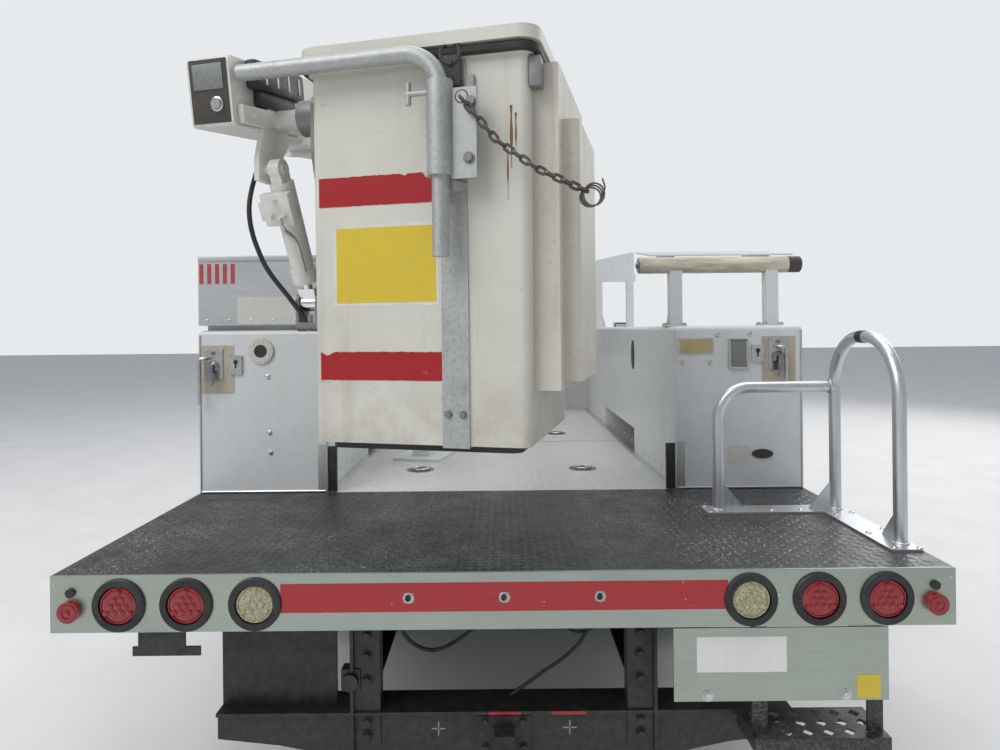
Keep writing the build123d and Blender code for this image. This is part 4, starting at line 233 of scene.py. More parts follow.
def weathered_fibreglass(name):
    """Cream gelcoat, chalky and stained, with drips of rust and a grimy foot."""
    n = Nodes(name)
    cloud = n.noise(3.2, 6, 0.6)
    shade = n.mix(n.ramp(cloud, 0.35, 0.7), (0.62, 0.6, 0.53), (0.7, 0.68, 0.61))
    drips = n.times(n.ramp(n.noise(16, 5, 0.65, (1, 1, 0.05)), 0.56, 0.74), n.ramp(n.noise(2.1), 0.42, 0.6))
    shade = n.mix(n.times(drips, 0.42), shade, (0.36, 0.3, 0.22))
    shade = n.mix(n.times(n.ramp(n.noise(85, 4, 0.7), 0.66, 0.74), 0.55), shade, (0.25, 0.22, 0.18))
    scuffs = n.times(n.ramp(n.noise(38, 6, 0.75, (0.3, 0.3, 1)), 0.63, 0.7), 0.5)
    shade = n.mix(scuffs, shade, (0.3, 0.27, 0.22))
    grime = n.times(n.height(1.345, 1.56), n.ramp(n.noise(10, 6, 0.7), 0.4, 0.66, 0.0, 0.5))
    shade = n.mix(grime, shade, (0.33, 0.28, 0.21))
    n.set(Base_Color=shade, Roughness=n.ramp(cloud, 0.3, 0.7, 0.38, 0.55))
    n.set(Coat_Weight=0.15, Coat_Roughness=0.3)
    n.bump(n.noise(28, 5), 0.08, 0.002)


def rusted_tray(name):
    """The same gelcoat with broad orange rust run-down, as on the tool boxes' outer edges."""
    n = Nodes(name)
    shade = n.mix(n.ramp(n.noise(4, 6, 0.6), 0.35, 0.7), (0.6, 0.57, 0.49), (0.68, 0.65, 0.57))
    run = n.ramp(n.noise(13, 6, 0.7, (1, 1, 0.07)), 0.52, 0.68)
    rust = n.times(run, n.math("SUBTRACT", 0.8, n.times(n.height(2.0, 2.32), 0.5)))
    shade = n.mix(n.times(rust, 0.8), shade, (0.34, 0.17, 0.08))
    shade = n.mix(n.times(n.ramp(n.noise(60, 5, 0.7), 0.6, 0.7), 0.4), shade, (0.2, 0.17, 0.13))
    n.set(Base_Color=shade, Roughness=0.5)
    n.bump(n.noise(30, 5), 0.1, 0.002)


def worn_black(name, high=(0.3, 0.3, 0.3), amount=0.4, rough=0.5):
    """Black bedliner or paint, rubbed to pale metal on its high points; on the deck's tread lugs the pale is
    also painted highlight.
    """
    n = Nodes(name)
    base = n.mix(n.ramp(n.noise(40, 6, 0.7), 0.35, 0.7), (0.012, 0.012, 0.013), (0.045, 0.044, 0.043))
    patch = n.ramp(n.noise(2.6, 6, 0.65), 0.42, 0.62, 0.05, amount)
    rub_and_highlight = n.times(n.ramp(n.noise(150, 4, 0.7), 0.5, 0.66), patch)
    dull = n.ramp(n.noise(12), 0.3, 0.7, rough - 0.12, rough + 0.12)
    n.set(Base_Color=n.mix(rub_and_highlight, base, high), Roughness=dull)
    n.bump(n.noise(260, 3), 0.15, 0.0006)


def tape(name, colour, worn=(0.6, 0.58, 0.52)):
    """Reflective tape: a fine honeycomb under a clear film, chipped in places."""
    n = Nodes(name)
    net = n.ramp(n.cells(260, feature="DISTANCE_TO_EDGE"), 0.0, 0.12)
    shade = n.mix(net, tuple(min(1, c * 1.25) for c in colour), colour)
    chips = n.ramp(n.noise(26, 6, 0.8), 0.67, 0.69)
    n.set(Base_Color=n.mix(chips, shade, worn), Roughness=0.28, Coat_Weight=0.5, Coat_Roughness=0.1)


def lens(name, colour, inner, rough=0.12):
    """Lamp lens with fine moulded dots."""
    n = Nodes(name)
    dots = n.cells(190)
    n.set(Base_Color=n.mix(n.ramp(dots, 0.1, 0.6), inner, colour), Roughness=rough)
    n.set(Coat_Weight=0.6, Coat_Roughness=0.05)
    n.bump(dots, 0.25, 0.001)


def tinted(name):
    """Tinted safety glass with a faint film of dust."""
    n = Nodes(name)
    film = n.ramp(n.noise(6, 6, 0.7), 0.4, 0.75, 0.0, 0.25)
    n.set(Base_Color=n.mix(film, PANE, (0.6, 0.6, 0.56)), Roughness=n.ramp(film, 0, 0.25, 0.02, 0.12))
    n.set(Transmission_Weight=0.92, IOR=1.05, Specular_IOR_Level=0.6)


GRIME = (0.33, 0.3, 0.25)
PANE = (0.55, 0.66, 0.63)
ACROSS, UPWARD = (0.04, 1, 1), (1, 1, 0.05)
OILY = {"rough": 0.6, "dirty": 0.9, "coat": 0.0}
painted("body_white", (0.78, 0.785, 0.77), GRIME, splash_z=0.95, wear=(0.3, 0.29, 0.27))
# The packs' paint: a white set greyer and a little bluer than the cab's white, as painted shade for the shade
# on the packs' rear faces.
painted("box_white", (0.72, 0.735, 0.74), GRIME, 0.36, 0.28, wear=(0.42, 0.41, 0.4))
painted("boom_white", (0.76, 0.745, 0.7), (0.3, 0.25, 0.19), 0.4, 0.5, streaks=0.5)
painted("floor_white", (0.6, 0.6, 0.59), (0.3, 0.28, 0.25), 0.42, 0.7, streaks=0.1)
worn_black("frame_black", (0.16, 0.12, 0.09), 0.35, 0.55)
worn_black("deck_black", (0.5, 0.5, 0.5), 0.32, 0.36)
# The pale on the raised tread lozenges and step teeth is partly wear and partly painted highlight, where the
# lugs catch the light.
worn_black("deck_lugs", (0.55, 0.55, 0.54), 0.85, 0.38)
worn_black("hitch_black", (0.1, 0.08, 0.07), 0.25, 0.42)
painted("cast_dark", (0.05, 0.048, 0.046), (0.16, 0.11, 0.07), **OILY)
painted("engine_grey", (0.12, 0.12, 0.125), (0.07, 0.05, 0.04), **OILY)
metal("tail_aluminium", (0.44, 0.49, 0.43), 0.28, ACROSS, 0.86, (0.35, 0.34, 0.31), 0.22)
metal("top_aluminium", (0.55, 0.56, 0.57), 0.42, ACROSS, 0.88, (0.3, 0.3, 0.3), 0.3, 0.75)
metal("rail_aluminium", (0.72, 0.73, 0.74), 0.26, UPWARD, 0.86, (0.4, 0.4, 0.4), 0.18)
metal("bright_steel", (0.66, 0.66, 0.65), 0.22, None, 0.8, (0.3, 0.2, 0.13), 0.3)
metal("dark_chrome", (0.35, 0.35, 0.36), 0.2, None, 0.7, (0.1, 0.07, 0.05), 0.3)
metal("rod_chrome", (0.82, 0.82, 0.83), 0.08, None, 0.95, (0.4, 0.35, 0.3), 0.08)
metal("gold_plate", (0.63, 0.5, 0.27), 0.38, (0.05, 1, 1), 0.85)
galvanised("galvanised")
galvanised("dull_galvanised", (0.27, 0.28, 0.27), 0.5)
galvanised("chain_steel", (0.14, 0.12, 0.11), 0.9)
moulded("tyre", (0.022, 0.022, 0.023), 0.8, 240, 0.25, (0.17, 0.155, 0.135), 0.5)
moulded("rubber", (0.016, 0.016, 0.017), 0.5, 300, 0.12, (0.2, 0.19, 0.17), 0.18)
moulded("black_plastic", (0.02, 0.02, 0.021), 0.45, 380, 0.15, (0.3, 0.28, 0.26), 0.12)
moulded("cream_plastic", (0.62, 0.6, 0.53), 0.4, 300, 0.1, (0.35, 0.31, 0.25), 0.3)
moulded("dash_plastic", (0.05, 0.05, 0.055), 0.6, 420, 0.3, (0.3, 0.28, 0.26), 0.1)
moulded("grey_plastic", (0.2, 0.21, 0.2), 0.5, 300, 0.1)
moulded("vinyl", (0.03, 0.03, 0.032), 0.42, 90, 0.5, (0.25, 0.23, 0.2), 0.3)
weathered_fibreglass("bucket_gelcoat")
rusted_tray("tray_gelcoat")
tape("red_tape", (0.36, 0.004, 0.008))
painted("yellow_sheet", (0.72, 0.53, 0.03), (0.4, 0.32, 0.16), 0.4, 0.3)
painted("white_sheet", (0.8, 0.8, 0.78), (0.5, 0.47, 0.42), 0.4, 0.2)
painted("worn_sheet", (0.74, 0.73, 0.69), (0.42, 0.36, 0.28), 0.5, 0.8)
painted("label_sheet", (0.66, 0.65, 0.6), (0.4, 0.37, 0.32), 0.35, 0.5)
painted("red_sheet", (0.5, 0.04, 0.05), (0.4, 0.2, 0.2), 0.45)
painted("backing", (0.52, 0.47, 0.36), (0.24, 0.2, 0.15), 0.6, 1.0)
painted("rust_drip", (0.2, 0.085, 0.03), (0.34, 0.22, 0.14), 0.6, 1.0, coat=0)
lens("red_lens", (0.24, 0.002, 0.005), (0.4, 0.008, 0.012))
lens("clear_lens", (0.3, 0.28, 0.16), (0.6, 0.57, 0.38), 0.18)
lens("amber_lens", (0.8, 0.22, 0.02), (0.9, 0.4, 0.05))
tinted("window_glass")


# Finishes that change within one node, told apart by their place in it


def between(n, value, low, high):
    """Return 1 where a value lies between two limits."""
    inputs = {0: value, 1: (low + high) / 2, 2: (high - low) / 2}
    return n.add("ShaderNodeMath", inputs, operation="COMPARE").outputs[0]


def near_axis(n, y, z, radius):
    """Return 1 within a radius of an axis that runs along X."""
    flat = n.add("ShaderNodeVectorMath", {0: n.coords, 1: (0, 1, 1)}, operation="MULTIPLY").outputs[0]
    away = n.add("ShaderNodeVectorMath", {0: flat, 1: (0, y, z)}, operation="DISTANCE")
    return n.math("LESS_THAN", away.outputs["Value"], radius)


def zoned(material, name, mask_of, **values):
    """Copy a material and give the part under a mask a finish of its own."""
    n = Nodes(name, MATERIALS[material].copy())
    first = n.shader
    n.shader = n.add("ShaderNodeBsdfPrincipled")
    n.set(**{key: value(n) if callable(value) else value for key, value in values.items()})
    mix = n.add("ShaderNodeMixShader", {0: mask_of(n), 1: first.outputs[0], 2: n.shader.outputs[0]})
    n.feed(n.tree.nodes["Material Output"].inputs["Surface"], mix.outputs[0])


def pane_mask(n):
    """Return 1 on the pane of a cab door."""
    x, y, z = n.split()
    inside = n.times(between(n, x, -1.0, 1.0), between(n, z, 1.4102, 1.8398))
    slanted = n.math("LESS_THAN", n.math("ADD", y, n.times(z, 0.6744)), 2.4205)
    inside = n.times(inside, n.times(slanted, n.math("GREATER_THAN", y, 0.6602)))
    normal_x = n.split(n.coords.node.outputs["Normal"])[0]
    return n.times(inside, n.math("GREATER_THAN", n.math("ABSOLUTE", normal_x), 0.5))


def seat_mask(n):
    x, y, z = n.split()
    return n.times(n.math("LESS_THAN", y, 1.125), n.math("GREATER_THAN", z, 0.93))


def board_mask(n):
    """Return 1 on the running boards."""
    x, y, z = n.split()
    return n.times(n.math("LESS_THAN", z, 0.6405), n.math("GREATER_THAN", n.math("ABSOLUTE", x), 0.83))


def liner_mask(n):
    """Return 1 on the front wheel wells' liners."""
    near = near_axis(n, FRONT_AXLE_Y, WHEEL_Z, 0.5325)
    return n.times(near, n.math("LESS_THAN", n.math("ABSOLUTE", n.split()[0]), 0.9445))


def screw_mask(n):
    """Return 1 on the screws above the side markers."""
    x, y, z = n.split()
    return n.times(n.math("GREATER_THAN", n.math("ABSOLUTE", x), 1.1), n.math("GREATER_THAN", z, 0.944))


def rim_dirt(n):
    return n.mix(n.ramp(n.noise(11, 6, 0.7), 0.4, 0.75), (0.55, 0.55, 0.54), (0.2, 0.17, 0.14))


def roller_stain(n):
    """Stain the rack's roller, with a black end."""
    stain = n.mix(n.ramp(n.noise(9, 6, 0.7, (0.5, 3, 3)), 0.4, 0.65), (0.66, 0.62, 0.52), (0.36, 0.27, 0.17))
    return n.mix(n.math("GREATER_THAN", n.split()[0], 1.205), stain, (0.06, 0.05, 0.045))


zoned("body_white", "door_paint", pane_mask,
      Base_Color=PANE, Roughness=0.03, Transmission_Weight=0.92, IOR=1.05)
zoned("body_white", "cab_paint", board_mask, Base_Color=(0.03, 0.03, 0.031), Roughness=0.55)
zoned("body_white", "fender_paint", liner_mask, Base_Color=(0.02, 0.02, 0.021), Roughness=0.75)
zoned("dash_plastic", "interior", seat_mask, Base_Color=(0.1, 0.1, 0.108), Roughness=0.92, Sheen_Weight=0.3)
# The rack's paint is a copy of the packs' white, painted shade included.
zoned("box_white", "rack_paint", lambda n: near_axis(n, ROLLER_Y, ROLLER_Z, 0.0345),
      Base_Color=roller_stain, Roughness=0.5)
for name, y in (("front_wheel", FRONT_AXLE_Y), ("rear_wheel", REAR_AXLE_Y)):
    zoned("tyre", name, lambda n: near_axis(n, y, WHEEL_Z, RIM_RADIUS),
          Base_Color=rim_dirt, Roughness=0.45, Metallic=0.2)
zoned("red_lens", "red_lamps", screw_mask, Base_Color=(0.02, 0.02, 0.02), Roughness=0.4)

cad_nodes = bpy.data.objects.keys()
for material, patterns in {
    "body_white": "hood",
    "cab_paint": "cab_shell",
    "door_paint": "cab_door_*",
    "fender_paint": "front_fenders",
    "box_white": "side_box_* bay_door_* pedestal",
    "rack_paint": "ladder_rack",
    "boom_white": "turret lift_arm level_link arm_head *_boom *_cylinder_barrel",
    "floor_white": "cargo_floor",
    "frame_black": "chassis_frame",
    "deck_black": "tail_deck rear_step",
    "hitch_black": "hitch_beam pintle_hook",
    "cast_dark": "*_axle knuckle_*",
    "engine_grey": "engine_block",
    "tail_aluminium": "tail_board step_panel",
    "top_aluminium": "top_box",
    "rail_aluminium": "handrail",
    "bright_steel": "box_latches front_bumper",
    "rod_chrome": "*_cylinder_rod",
    "galvanised": "bucket_hardware",
    "dull_galvanised": "platform_bracket",
    "chain_steel": "chain",
    "front_wheel": "wheel_front_*",
    "rear_wheel": "wheel_rear_*",
    "rubber": "lamp_grommets bucket_pad",
    "black_plastic": "grille",
    "interior": "cab_interior",
    "bucket_gelcoat": "bucket",
    "tray_gelcoat": "bucket_boxes",
    "red_lamps": "red_lamps",
    "clear_lens": "clear_lamps",
    "window_glass": "cab_glass",
}.items():
    for pattern in patterns.split():
        for node in matching(cad_nodes, pattern):
            for place in bpy.data.objects[node].material_slots:
                place.material = MATERIALS[material]

# Camera and stage

CAMERA_AT = (-0.001, -5.10, 1.644)
CAMERA_ROLL = 0.55
CAMERA_LENS = 24.84
CAMERA_RISE = -0.047
WORLD_LIGHT = 0.46

camera = bpy.data.objects.new("camera", bpy.data.cameras.new("camera"))
camera.data.lens = CAMERA_LENS
camera.data.sensor_width = 36
camera.location = CAMERA_AT
camera.data.shift_y = CAMERA_RISE
camera.rotation_euler = (math.radians(90), math.radians(CAMERA_ROLL), 0)
bpy.context.collection.objects.link(camera)
bpy.context.scene.camera = camera
bpy.context.scene.view_settings.view_transform = "Standard"


def make_stage():
    """Lay a plain pale floor and set soft light, with a pale backdrop for the camera's own rays."""
    bpy.ops.mesh.primitive_plane_add(size=90, location=(0, 0, 0))
    floor = bpy.context.object
    floor.name = "floor"
    n = Nodes("floor")
    shade = n.mix(n.ramp(n.noise(2, 5), 0.3, 0.7), (0.74, 0.74, 0.735), (0.8, 0.8, 0.795))
    n.set(Base_Color=shade, Roughness=0.8)
    floor.data.materials.append(n.mat)
    world = bpy.data.worlds.new("world")
    bpy.context.scene.world = world
    world.use_nodes = True
    tree = world.node_tree
    light = tree.nodes["Background"]
    light.inputs["Color"].default_value = (0.9, 0.94, 1.0, 1)
    light.inputs["Strength"].default_value = WORLD_LIGHT
    seen = tree.nodes.new("ShaderNodeBackground")
    seen.inputs["Color"].default_value = (0.8, 0.82, 0.84, 1)
    path = tree.nodes.new("ShaderNodeLightPath")
    mix = tree.nodes.new("ShaderNodeMixShader")
    for place, out in enumerate((path.outputs["Is Camera Ray"], light.outputs[0], seen.outputs[0])):
        tree.links.new(out, mix.inputs[place])
    tree.links.new(mix.outputs[0], tree.nodes["World Output"].inputs["Surface"])
    for name, at, size, energy in (
        ("key", (-6, -8, 9), 7, 620),
        ("top", (1, 0, 11), 9, 480),
        ("fill", (8, 5, 6), 7, 290),
    ):
        lamp = bpy.data.objects.new(name, bpy.data.lights.new(name, "AREA"))
        lamp.data.size = size
        lamp.data.energy = energy
        lamp.location = at
        lamp.rotation_euler = (UP - Vector(at)).to_track_quat("-Z", "Y").to_euler()
        bpy.context.collection.objects.link(lamp)


make_stage()

# Mesh helpers

SLOT_OF = {
    "deck_lugs": "deck_coating",
    "floor_white": "brushed_aluminium",
    "tail_aluminium": "brushed_aluminium",
    "rail_aluminium": "bright_aluminium",
    "top_aluminium": "bright_aluminium",
    "frame_black": "frame_paint",
    "hitch_black": "frame_paint",
    "boom_white": "boom_fibreglass",
    "clear_lens": "clear_lens",
    **dict.fromkeys("red_tape red_lens amber_lens yellow_sheet red_sheet".split(), "red_lens"),
    **dict.fromkeys("body_white worn_sheet white_sheet label_sheet backing".split(), "white_paint"),
    **dict.fromkeys("rubber black_plastic".split(), "grommet_rubber"),
}


def turned(at, out):
    """Return the matrix that stands Z along out at a place."""
    return Matrix.Translation(Vector(at)) @ Vector(out).to_track_quat("Z", "Y").to_matrix().to_4x4()


def circle(at, across, along, sides, start=0.0):
    """Return points round a centre; across and along are the half axes as vectors."""
    turns = [start + math.tau * k / sides for k in range(sides)]
    return [Vector(at) + Vector(across) * math.cos(a) + Vector(along) * math.sin(a) for a in turns]


def add_piece(name, mesh, material, body, sharp=None):
    """Bring a mesh into the scene as a piece that rides on a body; edges over sharp degrees stay sharp."""
    for face in mesh.polygons:
        face.use_smooth = True
    if sharp:
        mesh.set_sharp_from_angle(angle=math.radians(sharp))
    mesh.materials.append(MATERIALS[material])
    obj = bpy.data.objects.new(name, mesh)
    bpy.context.collection.objects.link(obj)
    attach(obj, body)


class Shape:
    """A mesh that grows by plain solids and ends as one piece."""

    def __init__(self):
        self.bm = bmesh.new()

    def box(self, low, high, bevel=0.0, place=None):
        """Add a box between two opposite corners, with its edges rounded by bevel."""
        low, high = (Vector(corner) for corner in zip(*(sorted(pair) for pair in zip(low, high))))
        middle = Matrix.Translation((low + high) / 2) @ Matrix.Diagonal((*(high - low), 1))
        made = bmesh.ops.create_cube(self.bm, size=1, matrix=middle)["verts"]
        if bevel:
            edges = list({edge for vert in made for edge in vert.link_edges})
            round_edges = bmesh.ops.bevel(self.bm, geom=edges, offset=bevel, segments=2, affect="EDGES",
                                          profile=0.6, clamp_overlap=True)
            made = list(round_edges["verts"]) + [v for v in made if v.is_valid]
        if place:
            bmesh.ops.transform(self.bm, matrix=place, verts=list(set(made)))
        return self

    def pair(self, low, high, bevel=0.0):
        """Add a box and its mirror image across the truck."""
        for side in (-1, 1):
            self.box((side * low[0], *low[1:]), (side * high[0], *high[1:]), bevel)
        return self

    def rod(self, start, end, radius, sides=20):
        start, end = Vector(start), Vector(end)
        bmesh.ops.create_cone(self.bm, cap_ends=True, segments=sides, radius1=radius, radius2=radius,
                              depth=(end - start).length, matrix=turned((start + end) / 2, end - start))
        return self

    def skin(self, loops, closed=False):
        """Join loops of points by faces; closed joins the last to the first."""
        loops = [[self.bm.verts.new(p) for p in loop] for loop in loops]
        for low, high in zip(loops, loops[1:] + loops[:1] if closed else loops[1:]):
            for k in range(len(low)):
                after = (k + 1) % len(low)
                self.bm.faces.new((low[k], low[after], high[after], high[k]))
        return loops

    def dome(self, at, out, radius, rise, sides=16, rings=3):
        """Add a round head that stands out of a surface."""
        turn = turned(at, Vector(out).normalized())
        loops = []
        for angle in [math.pi / 2 * ring / rings for ring in range(rings)]:
            wide = radius * math.cos(angle)
            flat = circle((0, 0, rise * math.sin(angle)), (wide, 0, 0), (0, wide, 0), sides)
            loops.append([turn @ p for p in flat])
        rim = self.skin(loops)[-1]
        top = self.bm.verts.new(turn @ Vector((0, 0, rise)))
        for k in range(sides):
            self.bm.faces.new((rim[k], rim[(k + 1) % sides], top))
        return self

    def ring(self, at, out, inner, outer, rise, sides=28):
        """Add a flat ring that stands out of a surface by rise."""
        turn = turned(at, Vector(out).normalized())
        section = ((outer, -0.001), (outer, rise * 0.6), ((inner + outer) / 2, rise),
                   (inner, rise * 0.6), (inner, -0.001))
        self.skin([[turn @ p for p in circle((0, 0, z), (r, 0, 0), (0, r, 0), sides)] for r, z in section])
        return self

    def hexagon(self, at, out, radius, rise):
        """Add a hexagon head with its washer."""
        at, out = Vector(at), Vector(out).normalized()
        self.rod(at, at + out * rise * 0.25, radius * 1.35, 18)
        return self.rod(at + out * rise * 0.2, at + out * rise, radius, 6)

    def tube(self, points, radius, sides=8, closed=False):
        """Add a tube along points."""
        points = [Vector(p) for p in points]
        loops = []
        normal = None
        for index, point in enumerate(points):
            before = points[index - 1] if index or closed else point
            after = points[(index + 1) % len(points)] if index + 1 < len(points) or closed else point
            along = (after - before).normalized()
            if normal is None:
                normal = along.orthogonal().normalized()
            normal = (normal - along * normal.dot(along)).normalized()
            loops.append(circle(point, normal * radius, along.cross(normal) * radius, sides))
        loops = self.skin(loops, closed)
        if not closed:
            self.bm.faces.new(loops[0][::-1])
            self.bm.faces.new(loops[-1])
        return self

    def prism(self, outline, offset):
        """Add a prism from a flat outline, given as points, moved by offset."""
        low, high = self.skin([[Vector(p) for p in outline], [Vector(p) + Vector(offset) for p in outline]])
        self.bm.faces.new(low[::-1])
        self.bm.faces.new(high)
        return self

    def done(self, name, material, body="truck", slot=None, sharp=35):
        """Close the mesh as a piece."""
        bmesh.ops.recalc_face_normals(self.bm, faces=self.bm.faces)
        mesh = bpy.data.meshes.new(name)
        self.bm.to_mesh(mesh)
        self.bm.free()
        add_piece(name, mesh, material, body, sharp)


def smooth_path(points, steps=8):
    """Return points on a Catmull-Rom curve through the given points."""
    points = [Vector(p) for p in points]
    padded = [points[0] * 2 - points[1]] + points + [points[-1] * 2 - points[-2]]
    curve = []
    for a, b, c, d in zip(padded, padded[1:], padded[2:], padded[3:]):
        for t in [step / steps for step in range(steps)]:
            curve.append(0.5 * ((2 * b) + (c - a) * t + (2 * a - 5 * b + 4 * c - d) * t * t
                                + (3 * b - a - 3 * c + d) * t * t * t))
    return curve + [points[-1]]


def tread(name, x_span, y_span, pitch, size, rise, material, clear):
    """Raise the lozenges of a tread plate, in two crossing directions, out of the boxes in clear."""
    verts, faces = [], []
    columns, rows = (int((high - low) / pitch) for low, high in (x_span, y_span))
    outline = ((-1, 0), (-0.55, -0.75), (0.55, -0.75), (1, 0), (0.55, 0.75), (-0.55, 0.75))
    for row in range(rows):
        for column in range(columns):
            x = x_span[0] + (column + 0.5) * pitch
            y = y_span[0] + (row + 0.5) * pitch
            if any(a[0] < x < a[1] and b[0] < y < b[1] for a, b in clear):
                continue
            angle = math.radians(45 if (row + column) % 2 else -45)
            cos, sin = math.cos(angle), math.sin(angle)
            f = len(verts)
            for along, across in outline:
                along, across = along * size[0] / 2, across * size[1] / 1.5
                verts.append((x + along * cos - across * sin, y + along * sin + across * cos, DECK_Z))
            for along in (-0.225 * size[0], 0.225 * size[0]):
                verts.append((x + along * cos, y + along * sin, DECK_Z + rise))
            faces += [(f, f + 1, f + 6), (f + 1, f + 2, f + 7, f + 6), (f + 2, f + 3, f + 7),
                      (f + 3, f + 4, f + 7), (f + 4, f + 5, f + 6, f + 7), (f + 5, f, f + 6)]
    mesh = bpy.data.meshes.new(name)
    mesh.from_pydata(verts, [], faces)
    add_piece(name, mesh, material, "truck")


# Tail: deck, board, lamps

# The deck's lugs are pale partly from wear and partly from painted highlight.
tread("deck_tread", (0.012 - BODY_HALF, BODY_HALF - 0.012), (TAIL_Y + 0.012, SHELF_FRONT_Y - 0.004), 0.0255,
      (0.03, 0.0095), 0.0018, "deck_lugs", (((0.70, 1.2), (-2.75, -2.655)), ((1.098, 1.2), (-3.155, -2.655))))
tread("floor_tread", (-0.682, 0.682), (BOX_REAR_Y + 0.004, BOX_FRONT_Y - 0.045), 0.034,
      (0.034, 0.009), 0.0014, "floor_white", (((-0.32, 0.32), (-0.4, 0.24)), ((-0.5, -0.24), (-1.73, -1.44))))

TAPE_X = (-0.587, 0.595)
TAPE_Z = (0.8975, 0.974)
ID_X = (-0.249, 0.004, 0.257)
ID_Z = 0.934
ID_HALF = 0.0125
strip = Shape()
edges = [TAPE_X[0], *(x + dx for x in ID_X for dx in (-ID_HALF, ID_HALF)), TAPE_X[1]]
spans = [(start, end, *TAPE_Z) for start, end in zip(edges[0::2], edges[1::2])]
for start, end in zip(edges[1::2], edges[2::2]):
    spans += [(start, end, TAPE_Z[0], ID_Z - ID_HALF), (start, end, ID_Z + ID_HALF, TAPE_Z[1])]
for start, end, low, high in spans:
    strip.box((start, TAIL_Y - 0.0007, low), (end, TAIL_Y - 0.0001, high))
strip.done("tail_tape", "red_tape")

rings, wells = Shape(), Shape()
for x in ID_X:
    rings.ring((x, TAIL_Y, ID_Z), BACK, 0.0095, 0.0145, 0.0025)
    wells.rod((x, TAIL_Y + 0.004, ID_Z), (x, TAIL_Y + 0.0065, ID_Z), 0.0098)
for x in (-0.777, 0.727):
    rings.dome((x, TAIL_Y, 0.935), BACK, 0.006, 0.003)
for x in (-1.19, 1.19):
    for z in (0.875, 0.975):
        rings.dome((x * 0.995, TAIL_Y, z), BACK, 0.004, 0.0018, 12)
rings.done("tail_rings", "bright_steel")
wells.done("id_lamp_wells", "black_plastic")

BEADS = [Vector((0, 0, 0))] + circle((0, 0, 0), (0.0195, 0, 0), (0, 0, 0.0195), 6)
BEADS += circle((0, 0, 0), (0.0355, 0, 0), (0, 0, 0.0355), 3, math.pi / 2)
for kind in ("red", "clear"):
    beads = Shape()
    for x in LAMPS[kind]:
        for shift in BEADS:
            beads.dome(Vector((x, TAIL_Y - 0.0062, LAMP_Z)) + shift, BACK, 0.0086, 0.0042, 14)
        beads.ring((x, TAIL_Y - 0.0045, LAMP_Z), BACK, 0.0435, 0.0475, 0.0022, 36)
    beads.done(f"lamp_beads_{kind}", f"{kind}_lens")
beads = Shape()
for x in (-1.14, 1.14):
    beads.ring((x, TAIL_Y - 0.016, 0.909), BACK, 0.014, 0.0225, 0.003)
    beads.dome((x, TAIL_Y - 0.016, 0.909), BACK, 0.008, 0.004)
beads.done("marker_beads", "red_lens")
Shape().box((0.001 - BODY_HALF, TAIL_Y + 0.001, DECK_Z - 0.004),
            (BODY_HALF - 0.001, TAIL_Y + 0.0075, DECK_Z + 0.0009), 0.0008).done("deck_edge", "tail_aluminium")

# Bucket: tapes and sheets on its rear face


def bucket_back(z):
    """Return the bucket's rear face at a height."""
    share = (z - BUCKET_LOW_Z) / (BUCKET_RIM_Z - BUCKET_LOW_Z)
    return BUCKET_V - (BUCKET_LOW_HALF + (BUCKET_TOP_HALF - BUCKET_LOW_HALF) * share)


def rear_sheet(name, u_span, z_span, material, lift=0.0012, ragged=0.0, torn=()):
    """Lay a thin sheet on the bucket's rear face, with a ragged top edge where torn."""
    count = int((u_span[1] - u_span[0]) / 0.008)
    shape = Shape()
    front, back = [], []
    for k in range(count + 1):
        u = u_span[0] + (u_span[1] - u_span[0]) * k / count
        cut = sum(depth * max(0, 1 - abs(u - at) / wide) for at, wide, depth in torn)
        rough = ragged * (random.random() - 0.5)
        for z in (z_span[0] + rough * 0.6, z_span[1] - cut + rough):
            for side, gap in ((front, lift), (back, lift * 0.15)):
                side.append(shape.bm.verts.new(aerial(u, bucket_back(z) - gap, z)))
    new_face = shape.bm.faces.new
    for k in range(0, 2 * count, 2):
        new_face((front[k], front[k + 2], front[k + 3], front[k + 1]))
        new_face((back[k + 1], back[k + 3], back[k + 2], back[k]))
        new_face((front[k], back[k], back[k + 2], front[k + 2]))
        new_face((front[k + 1], front[k + 3], back[k + 3], back[k + 1]))
    for k in (0, 2 * count):
        new_face((front[k], front[k + 1], back[k + 1], back[k]))
    shape.done(name, material, "platform")


TAPE_LEFT, TAPE_RIGHT = BUCKET_U - 0.281, STRAP_U - 0.0375
rear_sheet("bucket_tape_high", (TAPE_LEFT, TAPE_RIGHT), (1.976, 2.055), "red_tape", ragged=0.002,
           torn=((TAPE_RIGHT - 0.035, 0.014, 0.02), (TAPE_RIGHT - 0.1, 0.01, 0.008)))
rear_sheet("bucket_tape_low", (TAPE_LEFT, TAPE_RIGHT), (1.507, 1.583), "red_tape", ragged=0.002,
           torn=((TAPE_LEFT + 0.02, 0.02, 0.012),))
rear_sheet("bucket_undersheet", (0.322, 0.623), (1.706, 1.926), "worn_sheet", 0.0006, ragged=0.004)
rear_sheet("bucket_sheet", (0.332, 0.616), (1.715, 1.916), "yellow_sheet")

# Side packs: rear faces

PORT_X, PORT_Z = -0.948, 1.561


def on_pack(x, z, out=0.0):
    """Return a point on the packs' rear faces, standing out of them."""
    return (x, BOX_REAR_Y - out, z)


